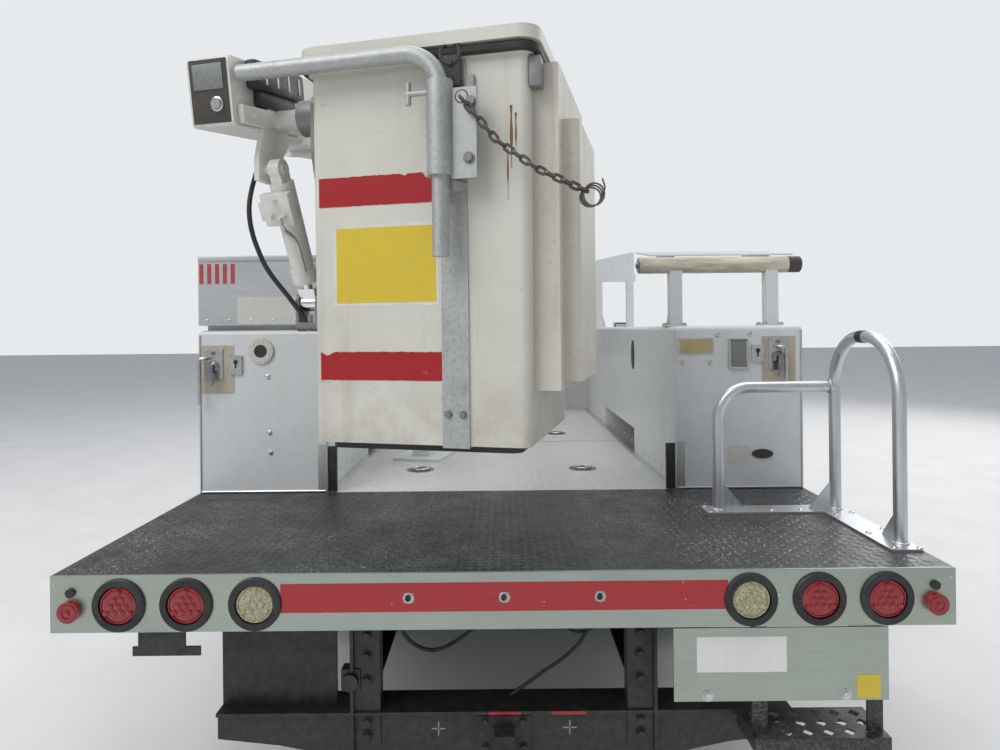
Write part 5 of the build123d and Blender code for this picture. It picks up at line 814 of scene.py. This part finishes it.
screws = Shape()
for x, z in ((-0.9225, 1.46), (-0.917, 1.238), (-0.914, 1.159), (0.86, 1.61), (0.987, 1.61), (0.72, 1.5),
             (0.83, 1.5)):
    screws.dome(on_pack(x, z), BACK, 0.011, 0.005, 18)
for at in circle(on_pack(PORT_X, PORT_Z, 0.0095), (0.039, 0, 0), (0, 0, 0.039), 6, 0.3):
    screws.dome(at, BACK, 0.0045, 0.002, 12)
for x_low, x_high, z_low, z_high, depth in (
    (-1.174, -1.099, 1.45, 1.573, 0.0053),
    (1.061, 1.136, 1.47, 1.596, 0.0053),
    (0.902, 0.978, 1.474, 1.592, 0.0123),
):
    for x in (x_low + 0.009, x_high - 0.009):
        for z in (z_low + 0.009, z_high - 0.009):
            screws.dome(on_pack(x, z, depth), BACK, 0.0045, 0.002, 12)
screws.done("face_screws", "bright_steel")
Shape().ring(on_pack(PORT_X, PORT_Z, 0.0079), BACK, 0.026, 0.049, 0.0018, 36).done(
    "port_ring", "cream_plastic", slot="black_plastic")
Shape().rod(on_pack(PORT_X, PORT_Z, 0.0075), on_pack(PORT_X, PORT_Z, 0.0086), 0.0255, 32).done(
    "port_hole", "black_plastic")

latches, keys = Shape(), Shape()
for x, z, hole_z, key_x, key_z in ((-1.137, 1.50, 1.555, -1.047, 1.5075), (1.098, 1.52, 1.58, 1.017, 1.534)):
    latches.ring(on_pack(x, z, 0.005), BACK, 0.0, 0.024, 0.012, 24)
    latches.rod(on_pack(x, z, 0.012), on_pack(x, z, 0.034), 0.009)
    latches.box(on_pack(x - 0.012, z - 0.075, 0.04), on_pack(x + 0.012, z + 0.012, 0.031), 0.003)
    latches.rod(on_pack(x, hole_z, 0.005), on_pack(x, hole_z, 0.01), 0.008)
    keys.rod(on_pack(key_x, key_z + 0.012, 0.0078), on_pack(key_x, key_z + 0.012, 0.0093), 0.009)
    keys.box(on_pack(key_x - 0.0035, key_z - 0.012, 0.0093), on_pack(key_x + 0.0035, key_z + 0.008, 0.0078),
             0.0005)
latches.done("latch_bodies", "dark_chrome")
keys.done("key_slots", "black_plastic")

outlet = Shape().box(on_pack(0.91, 1.482, 0.0165), on_pack(0.97, 1.584, 0.0118), 0.004)
outlet.rod(on_pack(0.908, 1.588, 0.014), on_pack(0.972, 1.588, 0.014), 0.005, 12)
outlet.done("outlet_lid", "grey_plastic")
stains = Shape().box(on_pack(-1.19, 1.395, 0.0012), on_pack(-1.055, 1.585))
stains.box(on_pack(1.035, 1.405, 0.0012), on_pack(1.168, 1.602)).done("latch_backing", "backing")
Shape().box(on_pack(0.712, 1.537, 0.0042), on_pack(0.838, 1.592, 0.003), 0.0006).done(
    "blank_plate", "gold_plate")
Shape().pair(on_pack(BOX_INNER - 0.001, 1.004, 0.0035), on_pack(BOX_INNER + 0.038, 1.19), 0.0008).done(
    "tailgate_trims", "galvanised")
Shape().pair(on_pack(BOX_INNER, 1.001, -0.002), on_pack(BOX_INNER - 0.034, 1.18, -0.02), 0.002).done(
    "tailgate_channels", "frame_black")

edge_beads = Shape()
for side in (-1, 1):
    for x in (side * (BOX_INNER + 0.0035), side * (BODY_HALF - 0.0045)):
        edge_beads.rod(on_pack(x, 1.002, 0.0008), on_pack(x, 1.625, 0.0008), 0.0042, 10)
    foot = [on_pack(side * x, 1.0055, 0.001) for x in (BOX_INNER + 0.01, BODY_HALF - 0.01)]
    edge_beads.rod(*foot, 0.0048, 10)
edge_beads.done("pack_edge_beads", "rail_aluminium")
Shape().box(on_pack(0.898, 1.095, 0.0008), on_pack(0.985, 1.172)).done("pack_label", "label_sheet")
Shape().prism(circle(on_pack(1.033, 1.137, 0.006), (0.042, 0, 0), (0, 0, 0.018), 24), (0, 0.0055, 0)).done(
    "pack_oval", "black_plastic")

# Cargo area: tie-ring pockets, strips, fasteners and wall vents

pockets, hoops = Shape(), Shape()
for x, y in ((-0.37, -1.95), (0.37, -1.95), (0.33, -0.9), (-0.33, -0.9)):
    pockets.rod((x, y, DECK_Z - 0.001), (x, y, DECK_Z + 0.002), 0.062, 28)
    hoops.tube(circle((x, y, DECK_Z + 0.006), (0.036, 0, 0), (0, 0.03, 0), 20), 0.0055, closed=True)
    hoops.box((x - 0.018, y + 0.022, DECK_Z + 0.001), (x + 0.018, y + 0.04, DECK_Z + 0.011), 0.003)
pockets.done("ring_pockets", "dark_chrome")
hoops.done("tie_rings", "bright_steel")
seam = Shape().box((-0.685, -1.205, DECK_Z), (0.685, -1.197, DECK_Z + 0.0016))
seam.pair((0.656, BOX_REAR_Y + 0.01, DECK_Z), (0.686, BOX_FRONT_Y - 0.05, DECK_Z + 0.003), 0.001)
seam.done("floor_strips", "rail_aluminium")
strip_bolts, vents = Shape(), Shape()
for side in (-1, 1):
    for y in [BOX_REAR_Y + 0.06 + k * 0.112 for k in range(24)]:
        strip_bolts.dome((side * 0.671, y, DECK_Z + 0.003), UP, 0.006, 0.0028, 12)
        strip_bolts.dome((side * (BOX_INNER - 0.0003), y + 0.05, 1.05), (-side, 0, 0), 0.006, 0.003, 12)
    vent = circle((side * (BOX_INNER - 0.004), -1.52, 1.5), (0, 0.035, 0), (0, 0, 0.075), 28)
    vents.prism(vent, (side * 0.0037, 0, 0))
strip_bolts.done("strip_bolts", "bright_steel")
vents.done("wall_vents", "black_plastic")

# Handrail: welds, bolts and the black band

HAND_INNER, HAND_OUTER = 0.752, 1.16
HAND_FRONT, HAND_REAR = TAIL_Y + 0.58, TAIL_Y + 0.19
HAND_LOW, HAND_TOP = 1.43, 1.605
PLATE_Z = DECK_Z + 0.007
WELD_R = 0.0205
welds = Shape()
for x, y in ((HAND_INNER, HAND_FRONT), (HAND_OUTER, HAND_FRONT), (HAND_OUTER, HAND_REAR)):
    bead = circle((x, y, PLATE_Z + 0.001), (WELD_R, 0, 0), (0, WELD_R, 0), 48)
    waves = [UP * 0.0008 * math.sin(9 * math.tau * k / 48) for k in range(48)]
    welds.tube([p + wave for p, wave in zip(bead, waves)], 0.0042, closed=True)
bead = circle((HAND_OUTER - 0.0195, HAND_FRONT, HAND_LOW), (0, WELD_R, 0), (0, 0, WELD_R), 48)
welds.tube(bead, 0.004, closed=True).done("rail_welds", "rail_aluminium")
apex_y = (HAND_FRONT + HAND_REAR) / 2
Shape().rod((HAND_OUTER, apex_y - 0.012, HAND_TOP), (HAND_OUTER, apex_y + 0.022, HAND_TOP), 0.0202, 24).done(
    "rail_band", "rubber")
anchors = Shape()
for x, y in ((0.715, -2.665), (0.715, -2.735), (0.93, -2.72), (1.03, -2.72), (1.12, -3.13), (1.12, -2.99),
             (1.185, -3.14), (1.12, -2.79), (1.185, -2.76), (1.185, -2.95)):
    anchors.dome((x, y, PLATE_Z), UP, 0.009, 0.005)
anchors.done("rail_anchors", "bright_steel")

# Step panel and step

PANEL_Y = TAIL_Y + 0.025
for name, material, low_x, low_z, high_x, high_z in (
    ("panel_label", "white_sheet", 0.517, 0.718, 0.757, 0.813),
    ("panel_tag", "yellow_sheet", 0.945, 0.646, 1.008, 0.708),
):
    Shape().box((low_x, PANEL_Y - 0.0008, low_z), (high_x, PANEL_Y, high_z)).done(name, material)
bolts = Shape()
for x in (0.545, 0.915):
    bolts.hexagon((x, PANEL_Y, 0.655), BACK, 0.011, 0.008)
bolts.done("panel_bolts", "bright_steel")
teeth = Shape()
for x in [0.672 + k * 0.0128 for k in range(28)]:
    for y in (TAIL_Y + 0.005, TAIL_Y + 0.15):
        teeth.prism([(x + dx, y, STEP_Z - dz) for dx, dz in ((-0.0045, 0.002), (0.0045, 0.002), (0, 0.0002))],
                    (0, 0.005, 0))
teeth.done("step_teeth", "deck_lugs")

# Hitch: bolts, reflectors, marks and wiring

HITCH_Y = TAIL_Y + 0.18
HITCH_LOW, HITCH_TOP = 0.4, 0.53
bolts = Shape()
for x in (-0.395, 0.395):
    for z in (0.47, 0.51, 0.63, 0.7, 0.76):
        bolts.hexagon((x, HITCH_Y - 0.006, z), BACK, 0.012, 0.012)
for x in (-0.055, 0.055):
    for z in (HITCH_LOW + 0.035, HITCH_TOP - 0.02):
        bolts.hexagon((x, HITCH_Y - 0.012, z), BACK, 0.011, 0.01)
bolts.done("hitch_bolts", "hitch_black")
reflectors = Shape()
for low_x, high_x in ((-0.044, 0.048), (0.137, 0.235)):
    reflectors.box((low_x, HITCH_Y - 0.0148, HITCH_TOP + 0.0005),
                   (high_x, HITCH_Y - 0.0142, HITCH_TOP + 0.0095))
reflectors.done("hitch_reflectors", "red_tape")
crosses = Shape()
for x in (-0.19, 0.19):
    for dx, low_z, high_z in ((0.02, 0.483, 0.487), (0.002, 0.465, 0.505)):
        crosses.box((x - dx, HITCH_Y - 0.0006, low_z), (x + dx, HITCH_Y, high_z))
crosses.done("hitch_cross_marks", "dark_chrome", slot="frame_paint")
wires = Shape()
for radius, *points in (
    (0.006, (-0.33, -3.06, 0.82), (-0.28, -3.05, 0.72), (-0.2, -3.05, 0.69), (-0.1, -3.04, 0.74),
     (-0.02, -3.03, 0.83)),
    (0.0055, (0.3, -3.04, 0.84), (0.22, -3.05, 0.7), (0.1, -3.05, 0.61), (0.02, -3.06, 0.56)),
    (0.0045, (0.34, -3.03, 0.84), (0.29, -3.04, 0.76), (0.2, -3.04, 0.74), (0.12, -3.03, 0.84)),
):
    wires.tube(smooth_path(points), radius)
wires.done("tail_wiring", "rubber")
socket = Shape().box((-0.47, HITCH_Y - 0.012, 0.60), (-0.412, HITCH_Y + 0.03, 0.665), 0.006)
socket.rod((-0.441, HITCH_Y - 0.03, 0.632), (-0.441, HITCH_Y - 0.008, 0.632), 0.024, 24).done(
    "trailer_socket", "black_plastic")

# Boom tip: face, cover, cylinder fittings and hose

TIP_END_S = (1.08 + 3.24) / math.cos(DIP)
BOOM_BACK = (AHEAD * -math.cos(DIP) + UP * -math.sin(DIP)).normalized()
BOOM_UP = (AHEAD * -math.sin(DIP) + UP * math.cos(DIP)).normalized()
ELBOW = aerial(0, 1.08, 2.94)


def on_boom(s, across, rise):
    """Return a point at s from the elbow along the boom, across to the right and rise above its axis."""
    return ELBOW + BOOM_BACK * s + RIGHT * across + BOOM_UP * rise


def boom_matrix(s, across, rise):
    """Return the matrix whose X is across, Y is up and Z is out of the tip, at a place on the boom."""
    turn = Matrix((RIGHT, BOOM_UP, BOOM_BACK)).transposed().to_4x4()
    return Matrix.Translation(on_boom(s, across, rise)) @ turn


def rod_in(shape, place, start, end, *rest):
    """Add a rod between two points of a matrix's own frame."""
    shape.rod(place @ Vector(start), place @ Vector(end), *rest)


tip = boom_matrix(TIP_END_S, 0, 0)
Shape().box((-0.058, -0.084, -0.001), (0.058, 0.084, 0.003), 0.003, tip).done(
    "tip_plate", "cast_dark", "inner_boom", "boom_fibreglass")
Shape().box((-0.046, 0.004, 0.002), (0.046, 0.072, 0.0055), 0.012, tip).done(
    "tip_panel", "dull_galvanised", "inner_boom", "boom_fibreglass")
stub = Shape()
rod_in(stub, tip, (0.022, -0.035, 0.002), (0.022, -0.035, 0.012), 0.014, 24)
stub.ring(tip @ Vector((0.022, -0.035, 0.003)), BOOM_BACK, 0.012, 0.02, 0.006)
stub.done("tip_stub", "bright_steel", "inner_boom")
cover = Shape().box((0.0655, 0.012, -0.335), (0.102, 0.094, -0.07), 0.012, tip)
cover.box((0.0652, -0.03, -0.30), (0.088, 0.02, -0.1), 0.01, tip)
cover.done("tip_cover", "vinyl", "inner_boom", "rubber_pad")
fasteners = Shape()
for z in (-0.3, -0.24, -0.18, -0.12):
    fasteners.box((0.101, 0.03, z - 0.004), (0.104, 0.078, z + 0.004), 0.001, tip)
fasteners.done("tip_cover_fasteners", "white_sheet", "inner_boom")
side_parts = Shape().box((0.066, -0.086, -0.34), (0.084, -0.035, -0.02), 0.004, tip)
rod_in(side_parts, tip, (0.083, -0.06, -0.06), (0.089, -0.06, -0.06), 0.012)
rod_in(side_parts, tip, (0.083, -0.06, -0.3), (0.09, -0.06, -0.3), 0.016)
side_parts.done("tip_side_parts", "boom_white", "inner_boom")

joints = {joint["name"]: joint for joint in frame["record"]["behaviour"]["joints"]}
level_run = Vector(joints["level_cylinder_stroke"]["axis"]).normalized()
level_at = Vector(joints["level_cylinder_turn"]["pos_m"]) + level_run * 0.1
level_side = RIGHT.cross(level_run).normalized()
place = Matrix.Translation(level_at) @ Matrix((RIGHT, level_side, level_run)).transposed().to_4x4()
valve = Shape().box((-0.045, -0.062, -0.045), (0.045, -0.033, 0.05), 0.004, place)
valve.box((-0.06, -0.055, -0.02), (-0.03, 0.01, 0.035), 0.004, place)
for x, z in ((-0.02, 0.02), (0.02, 0.02), (0.0, -0.025)):
    rod_in(valve, place, (x, -0.062, z), (x, -0.08, z), 0.008, 12)
valve.done("level_valve", "boom_white", "level_cylinder_barrel", "cylinder_steel")
line = ((0.02, -0.078, 0.02), (0.022, -0.085, 0.05), (0.03, -0.05, 0.1), (0.028, -0.038, 0.2))
Shape().tube(smooth_path([place @ Vector(p) for p in line]), 0.005).done(
    "level_line", "bright_steel", "level_cylinder_barrel")
hose = [on_boom(TIP_END_S - 0.3, -0.03, -0.1), aerial(-0.03, -3.02, 2.02), aerial(0.0, -3.0, 1.86),
        aerial(0.07, -2.96, 1.74), aerial(0.12, -2.93, 1.66)]
Shape().tube(smooth_path(hose, 10), 0.0075, 10).done("bucket_hose", "rubber", "platform", "rubber_pad")
fittings = Shape()
for point, ahead in ((hose[0], -BOOM_UP), (hose[-1], UP)):
    fittings.rod(point - ahead * 0.02, point + ahead * 0.03, 0.011, 6)
fittings.done("hose_fittings", "bright_steel", "platform")

# Bucket: strap bolts and lug, corner bracket, rim seal, chain rings and rust drips

bolts = Shape()
for z in (2.275, 2.235, 1.42):
    for u in (STRAP_U - 0.02, STRAP_U + 0.02):
        bolts.hexagon(aerial(u, bucket_back(z) - 0.0055, z), -AHEAD, 0.008, 0.008)
for u, z in ((0.735, 2.207), (0.728, 2.068)):
    bolts.hexagon(aerial(u, BUCKET_REAR_V - 0.0633, z), -AHEAD, 0.011, 0.009)
bolts.done("strap_bolts", "dull_galvanised", "platform")
lug_v = BUCKET_REAR_V - 0.019
lug = Shape().box((STRAP_U - 0.027, lug_v - 0.006, 2.265), (STRAP_U + 0.027, lug_v, 2.352), 0.004, AERIAL)
lug.tube(circle(aerial(STRAP_U, lug_v - 0.004, 2.35), RIGHT * 0.026, UP * 0.028, 28), 0.0065, 10, closed=True)
for z in (2.285, 2.325):
    lug.hexagon(aerial(STRAP_U, lug_v - 0.006, z), -AHEAD, 0.009, 0.007)
lug.done("strap_lug", "cast_dark", "platform")
mounts = Shape()
for low_u, high_u, low_z, high_z in ((-0.055, -0.035, 2.16, 2.3), (0.035, 0.06, 2.17, 2.295)):
    v = bucket_back(high_z) - 0.001
    mounts.box((STRAP_U + low_u, v - 0.008, low_z), (STRAP_U + high_u, v, high_z), 0.002, AERIAL)
mounts.done("strap_mounts", "dull_galvanised", "platform")
corner_u = BUCKET_U + BUCKET_TOP_HALF
Shape().box((corner_u - 0.001, BUCKET_REAR_V + 0.008, 2.257), (corner_u + 0.03, BUCKET_REAR_V + 0.05, 2.335),
            0.004, AERIAL).done("corner_bracket", "dull_galvanised", "platform")

SEAL_R = 0.0405
reach = BUCKET_TOP_HALF + 0.0165 - SEAL_R
seal = []
for quarter, (right, ahead) in enumerate(((1, 1), (-1, 1), (-1, -1), (1, -1))):
    for angle in [math.pi / 2 * (quarter + k / 8) for k in range(9)]:
        u = BUCKET_U + right * reach + SEAL_R * math.cos(angle)
        v = BUCKET_V + ahead * reach + SEAL_R * math.sin(angle)
        seal.append(aerial(u, v, BUCKET_RIM_Z - 0.017))
Shape().tube(seal, 0.0125, closed=True).done("rim_seal", "rubber", "platform", "rubber_pad")
chain = Shape()
eye = aerial(0.71, BUCKET_REAR_V - 0.06, 2.222)
chain.tube(circle(eye, RIGHT * 0.016, UP * 0.016, 20), 0.004, closed=True)
coil = aerial(1.018, BUCKET_REAR_V + 0.026, 1.97)
for k in range(3):
    at = coil + Vector((0.004, -0.003, 0.003)) * k
    chain.tube(circle(at, RIGHT * 0.026, UP * (0.024 + 0.002 * k), 26), 0.0024, 6, closed=True)
tail = [coil + RIGHT * 0.024, coil + RIGHT * 0.036 + UP * 0.02, coil + RIGHT * 0.03 + UP * 0.045]
chain.tube(smooth_path(tail), 0.0022, 6)
chain.done("chain_rings", "chain_steel", "platform")
drips = Shape()
for u, z_low, z_high, wide in (
    (0.822, 2.05, 2.21, 0.0045),
    (0.834, 2.09, 2.19, 0.003),
    (0.812, 1.97, 2.1, 0.0025),
):
    left, right = [], []
    for t in [k / 12 for k in range(13)]:
        z = z_low + (z_high - z_low) * t
        half = wide * (0.25 + 0.75 * t) * (1 + 0.5 * math.sin(9 * t + u * 50))
        for edge, at in ((left, u - half), (right, u + half)):
            edge.append(drips.bm.verts.new(aerial(at, bucket_back(z) - 0.0004, z)))
    for k in range(12):
        drips.bm.faces.new((left[k], right[k], right[k + 1], left[k + 1]))
drips.done("rust_drips", "rust_drip", "platform", "bucket_fibreglass")

# Cab: seals, wipers, roof lamps, mirrors, headlamps and grille

CAB_REAR_Y = 0.48
ROOF_Z = 2.01
NOSE_Y = 3.2862
LAMP_HIGH_Z = 1.04
SHIELD_OUT = Vector((0, 0.585, 0.55)).normalized()


def on_shield(x, z, lift=0.0):
    """Return a point on the windshield's outer plane, moved out by lift."""
    return Vector((x, 1.88 - (z - 1.395) * 0.55 / 0.585, z)) + SHIELD_OUT * lift


def rounded(corners, radius, steps=6):
    """Return a closed loop of points through corners, each rounded by about radius."""
    corners = [Vector(c) for c in corners]
    loop = []
    for before, at, after in zip(corners[-1:] + corners, corners, corners[1:] + corners[:1]):
        start = at + (before - at).normalized() * radius
        end = at + (after - at).normalized() * radius
        for t in [k / steps for k in range(steps + 1)]:
            loop.append(start * (1 - t) ** 2 + at * 2 * t * (1 - t) + end * t * t)
    return loop


seals = Shape()
for corners in (
    [on_shield(x, z, -0.003) for x, z in ((-0.78, 1.445), (0.78, 1.445), (0.62, 1.915), (-0.62, 1.915))],
    [(x, CAB_REAR_Y + 0.003, z) for x, z in ((-0.56, 1.43), (0.56, 1.43), (0.52, 1.84), (-0.52, 1.84))],
):
    seals.tube(rounded(corners, 0.05), 0.0085, closed=True)
seals.done("window_seals", "rubber")
wipers = Shape()
for pivot, end in ((-0.08, -0.42), (0.56, 0.2)):
    wipers.rod(on_shield(pivot, 1.412, -0.004), on_shield(pivot, 1.412, 0.016), 0.013, 16)
    for radius, *points in (
        (0.0045, (pivot, 1.412, 0.014), ((pivot + end) / 2, 1.45, 0.022), (end, 1.474, 0.014)),
        (0.004, (end - 0.25, 1.463, 0.004), (end, 1.477, 0.01), (end + 0.25, 1.487, 0.004)),
    ):
        wipers.tube([on_shield(*point) for point in points], radius)
wipers.done("wipers", "black_plastic", slot="black_plastic")
lamps, bases = Shape(), Shape()
for x in (-0.56, -0.17, 0.0, 0.17, 0.56):
    lamps.box((x - 0.045, 1.165, ROOF_Z - 0.006), (x + 0.045, 1.205, ROOF_Z + 0.02), 0.009)
    bases.box((x - 0.052, 1.158, ROOF_Z - 0.008), (x + 0.052, 1.212, ROOF_Z + 0.003), 0.002)
lamps.done("roof_lamps", "amber_lens")
bases.done("roof_lamp_bases", "black_plastic", slot="black_plastic")
gutters = Shape()
for side in (-1, 1):
    gutters.tube([(side * 0.778, 0.6, 1.919), (side * 0.778, 1.19, 1.919), (side * 0.79, 1.35, 1.895)], 0.007)
gutters.done("roof_gutters", "body_white")

for side, name in ((-1, "left"), (1, "right")):
    body = f"cab_door_{name}"
    inner, outer = side * 1.099, side * 1.256
    glass = Shape().box((inner, 1.4685, 1.445), (outer, 1.4702, 1.674), 0.0006)
    glass.box((inner, 1.4685, 1.346), (outer, 1.4702, 1.43), 0.0006)
    glass.done(f"mirror_glass_{name}", "rod_chrome", body, "bright_aluminium", 20)
    low_x, high_x = sorted((inner, outer))
    low_x, high_x = low_x - 0.003, high_x + 0.003
    corners = ((low_x, 1.343), (high_x, 1.343), (high_x, 1.677), (low_x, 1.677))
    rim = Shape().tube(rounded([(x, 1.469, z) for x, z in corners], 0.02), 0.005, closed=True)
    rim.box((inner, 1.466, 1.434), (outer, 1.470, 1.441), 0.001)
    rim.done(f"mirror_frame_{name}", "black_plastic", body, "black_plastic")
    Shape().rod((side * 0.938, 0.628, 1.254), (side * 0.9435, 0.628, 1.254), 0.011).done(
        f"door_lock_{name}", "bright_steel", body)
    corners = ((0.9365, 0.652, 1.402), (0.9365, 1.478, 1.402), (0.7985, 1.186, 1.848), (0.7985, 0.652, 1.848))
    Shape().tube(rounded([(side * x, y, z) for x, y, z in corners], 0.03), 0.0065, closed=True).done(
        f"window_trim_{name}", "rubber", body)

rings, bulbs = Shape(), Shape()
for x in (-0.65, -0.782, 0.65, 0.782):
    rings.ring((x, NOSE_Y, LAMP_HIGH_Z), (0, 1, 0), 0.052, 0.062, 0.004, 32)
    bulbs.dome((x, NOSE_Y - 0.0001, LAMP_HIGH_Z), (0, 1, 0), 0.051, 0.005, 32, 4)
rings.done("headlamp_rings", "bright_steel", slot="bright_aluminium")
bulbs.done("headlamp_lenses", "clear_lens")
lamps = Shape().pair((0.575, 3.2855, 0.976), (0.855, 3.2892, 0.984), 0.001)
lamps.pair((0.9446, 3.0, 1.0), (0.9475, 3.05, 1.06), 0.0008).done("turn_lamps", "amber_lens")
grille = Shape()
for x in [-0.513 + k * 0.054 for k in range(20)]:
    grille.box((x - 0.002, 3.222, 0.864), (x + 0.002, 3.226, 1.09))
grille.done("grille_mesh", "black_plastic", slot="black_plastic")
hooks = Shape()
for x in (-0.36, 0.36):
    hooks.tube([(x, 3.398, 0.59), (x, 3.4118, 0.575), (x, 3.4118, 0.545), (x, 3.398, 0.53)], 0.0025)
hooks.done("bumper_fittings", "bright_steel", slot="steel_bumper")

# Wheels: nuts and hub caps

for side, name in ((-1, "left"), (1, "right")):
    out = (side, 0, 0)
    for kind, y, disc_x, hub_x, cap, rise in (
        ("front", FRONT_AXLE_Y, 0.944, 0.96, 0.062, 0.026),
        ("rear", REAR_AXLE_Y, 0.9452, 1.078, 0.045, 0.014),
    ):
        nuts = Shape()
        for at in circle((side * disc_x, y, WHEEL_Z), (0, 0.121, 0), (0, 0, 0.121), 8, math.tau / 16):
            nuts.hexagon(at, out, 0.0165, 0.024)
        if kind == "rear":
            for at in circle((side * hub_x, y, WHEEL_Z), (0, 0.064, 0), (0, 0, 0.064), 8):
                nuts.hexagon(at, out, 0.009, 0.008)
        nuts.done(f"wheel_nuts_{kind}_{name}", "bright_steel", f"wheel_{kind}_{name}", "dark_steel")
        hub = Shape().dome((side * hub_x, y, WHEEL_Z), out, cap, rise, 28, 4)
        hub.ring((side * hub_x, y, WHEEL_Z), out, 0.078, 0.0895, 0.005, 36)
        hub.done(f"hub_cap_{kind}_{name}", "bright_steel", f"wheel_{kind}_{name}", "dark_steel")

# Side packs: door locks, reflectors and mud flaps

for side, name in ((-1, "left"), (1, "right")):
    for bay, y, z in (("rear", -1.668, 1.142), ("middle", REAR_AXLE_Y, 1.53), ("front", -0.42, 1.142)):
        x = side * 1.2
        lock = Shape().rod((x - side * 0.001, y, z + 0.022), (x + side * 0.0035, y, z + 0.022), 0.0105)
        for dy in (-0.047, 0.047):
            for dz in (-0.027, 0.027):
                lock.dome((x, y + dy, z + dz), (side, 0, 0), 0.0042, 0.002, 10)
        lock.done(f"door_key_{bay}_{name}", "bright_steel", f"bay_door_{bay}_{name}", "bright_aluminium")
Shape().pair((1.1945, 0.23, 0.643), (1.198, 0.32, 0.661), 0.001).done("side_reflectors", "amber_lens")
Shape().pair((1.1945, -3.2, 0.925), (1.198, -3.09, 0.955), 0.001).done("tail_reflectors", "red_lens")
flaps = Shape()
for k in range(8):
    z = 0.26 + k * 0.048
    bow = 0.004 * math.sin(k * 1.1)
    flaps.pair((0.70, -1.62 + bow, z), (1.17, -1.611 + bow, z + 0.0482), 0.0005)
flaps.done("mud_flaps", "rubber")
Shape().pair((0.69, -1.632, 0.605), (1.18, -1.60, 0.6405), 0.002).done(
    "flap_bars", "bright_steel", slot="dark_steel")

# Aerial device: base bolts, pin caps, collar and hoses

bolts = Shape()
for at in circle((0, TURRET_Y, 1.4995), (0.222, 0, 0), (0, 0.222, 0), 16, math.tau / 32):
    bolts.hexagon(at, UP, 0.0105, 0.0012)
for x in (-0.26, -0.09, 0.09, 0.26):
    for y in (-0.265, 0.265):
        bolts.hexagon((x, TURRET_Y + y, DECK_Z + 0.02), UP, 0.016, 0.018)
bolts.done("base_bolts", "bright_steel", slot="dark_steel")
for body, *pins in (
    ("turret", (-0.06, 2.26, 0.03), (-0.207, 2.423, 0.022), (0.02, 1.64, 0.022)),
    ("arm_head", (1.0856, 2.3602, 0.03), (0.9386, 2.5232, 0.022), (1.08, 2.94, 0.035), (0.9, 2.64, 0.022)),
):
    caps = Shape()
    for v, z, radius in pins:
        for side in (-1, 1):
            caps.dome(aerial(side * 0.1165, v, z), RIGHT * side, radius * 0.96, 0.005, 24)
            caps.box((-0.012, -0.03, -0.002), (0.012, 0.03, 0.004), 0.002,
                     turned(aerial(side * 0.1055, v, z + radius + 0.022), RIGHT * side))
    caps.done(f"pin_caps_{body}", "bright_steel", body, "dark_steel")
bolts = Shape()
for s in (3.72, 3.8, 3.845):
    for rise in (-0.085, 0.0, 0.085):
        bolts.hexagon(on_boom(s, -0.0752, rise), -RIGHT, 0.01, 0.008)
bolts.done("wear_pad_bolts", "bright_steel", "outer_boom", "dark_steel")
band = Shape()
for rise in (-0.119, 0.119):
    band.box((-0.08, -0.004, -0.028), (0.08, 0.004, 0.028), 0.002, boom_matrix(3.845, 0, rise))
band.box((-0.004, -0.122, -0.028), (0.004, 0.122, 0.028), 0.002, boom_matrix(3.845, -0.077, 0))
band.done("boom_collar", "boom_white", "outer_boom")
hoses, clamps = Shape(), Shape()
for across in (-0.03, 0.0, 0.03):
    path = []
    for s in (0.4, 1.0, 1.6, 2.2, 2.8, 3.4, 3.7):
        path.append(on_boom(s, across, 0.127 + 0.004 * math.sin(s * 7 + across * 90)))
    hoses.tube(smooth_path(path, 5), 0.0075)
for s in (0.7, 1.45, 2.2, 2.95, 3.6):
    clamps.box((-0.05, 0.118, -0.012), (0.05, 0.139, 0.012), 0.002, boom_matrix(s, 0, 0))
hoses.done("boom_hoses", "rubber", "outer_boom", "rubber_pad")
clamps.done("hose_clamps", "galvanised", "outer_boom")

# Top box and ladder rack

rivets = Shape()
for y in [BOX_REAR_Y + 0.04 + k * 0.09 for k in range(9)]:
    for x, side in ((-1.195, -1), (-0.69, 1)):
        for z in (1.69, 1.915):
            rivets.dome((x, y, z), (side, 0, 0), 0.0055, 0.0025, 10)
for x in [-1.16 + k * 0.087 for k in range(6)]:
    for z in (1.685, 1.92):
        rivets.dome((x, BOX_REAR_Y, z), BACK, 0.0055, 0.0025, 10)
rivets.done("top_box_rivets", "bright_steel", slot="bright_aluminium")
Shape().box((-1.195, BOX_REAR_Y - 0.004, 1.918), (-0.6905, BOX_REAR_Y + 0.804, 1.9402), 0.004).done(
    "top_box_lid_edge", "top_aluminium")
Shape().box(on_pack(-1.04, 1.668, 0.0012), on_pack(-0.755, 1.776, 0.0002)).done(
    "top_box_label", "label_sheet")
stripes = Shape()
for x in [-1.19 + k * 0.031 for k in range(5)]:
    stripes.box(on_pack(x, 1.83, 0.0012), on_pack(x + 0.0155, 1.908, 0.0002))
stripes.done("top_box_stripes", "red_sheet")
ends = Shape()
for x, side in ((0.584, -1), (1.256, 1)):
    for depth, radius, sides in ((0.004, 0.03, 24), (0.012, 0.011, 16)):
        ends.rod((x, ROLLER_Y, ROLLER_Z), (x + depth * side, ROLLER_Y, ROLLER_Z), radius, sides)
ends.done("roller_ends", "dark_chrome", slot="dark_steel")
bolts = Shape()
for x in (0.735, 1.135):
    for dx in (-0.036, 0.03):
        for dy in (-0.034, 0.034):
            bolts.hexagon((x + dx, ROLLER_Y + dy, 1.6503), UP, 0.0085, 0.008)
bolts.done("rack_bolts", "bright_steel", slot="dark_steel")
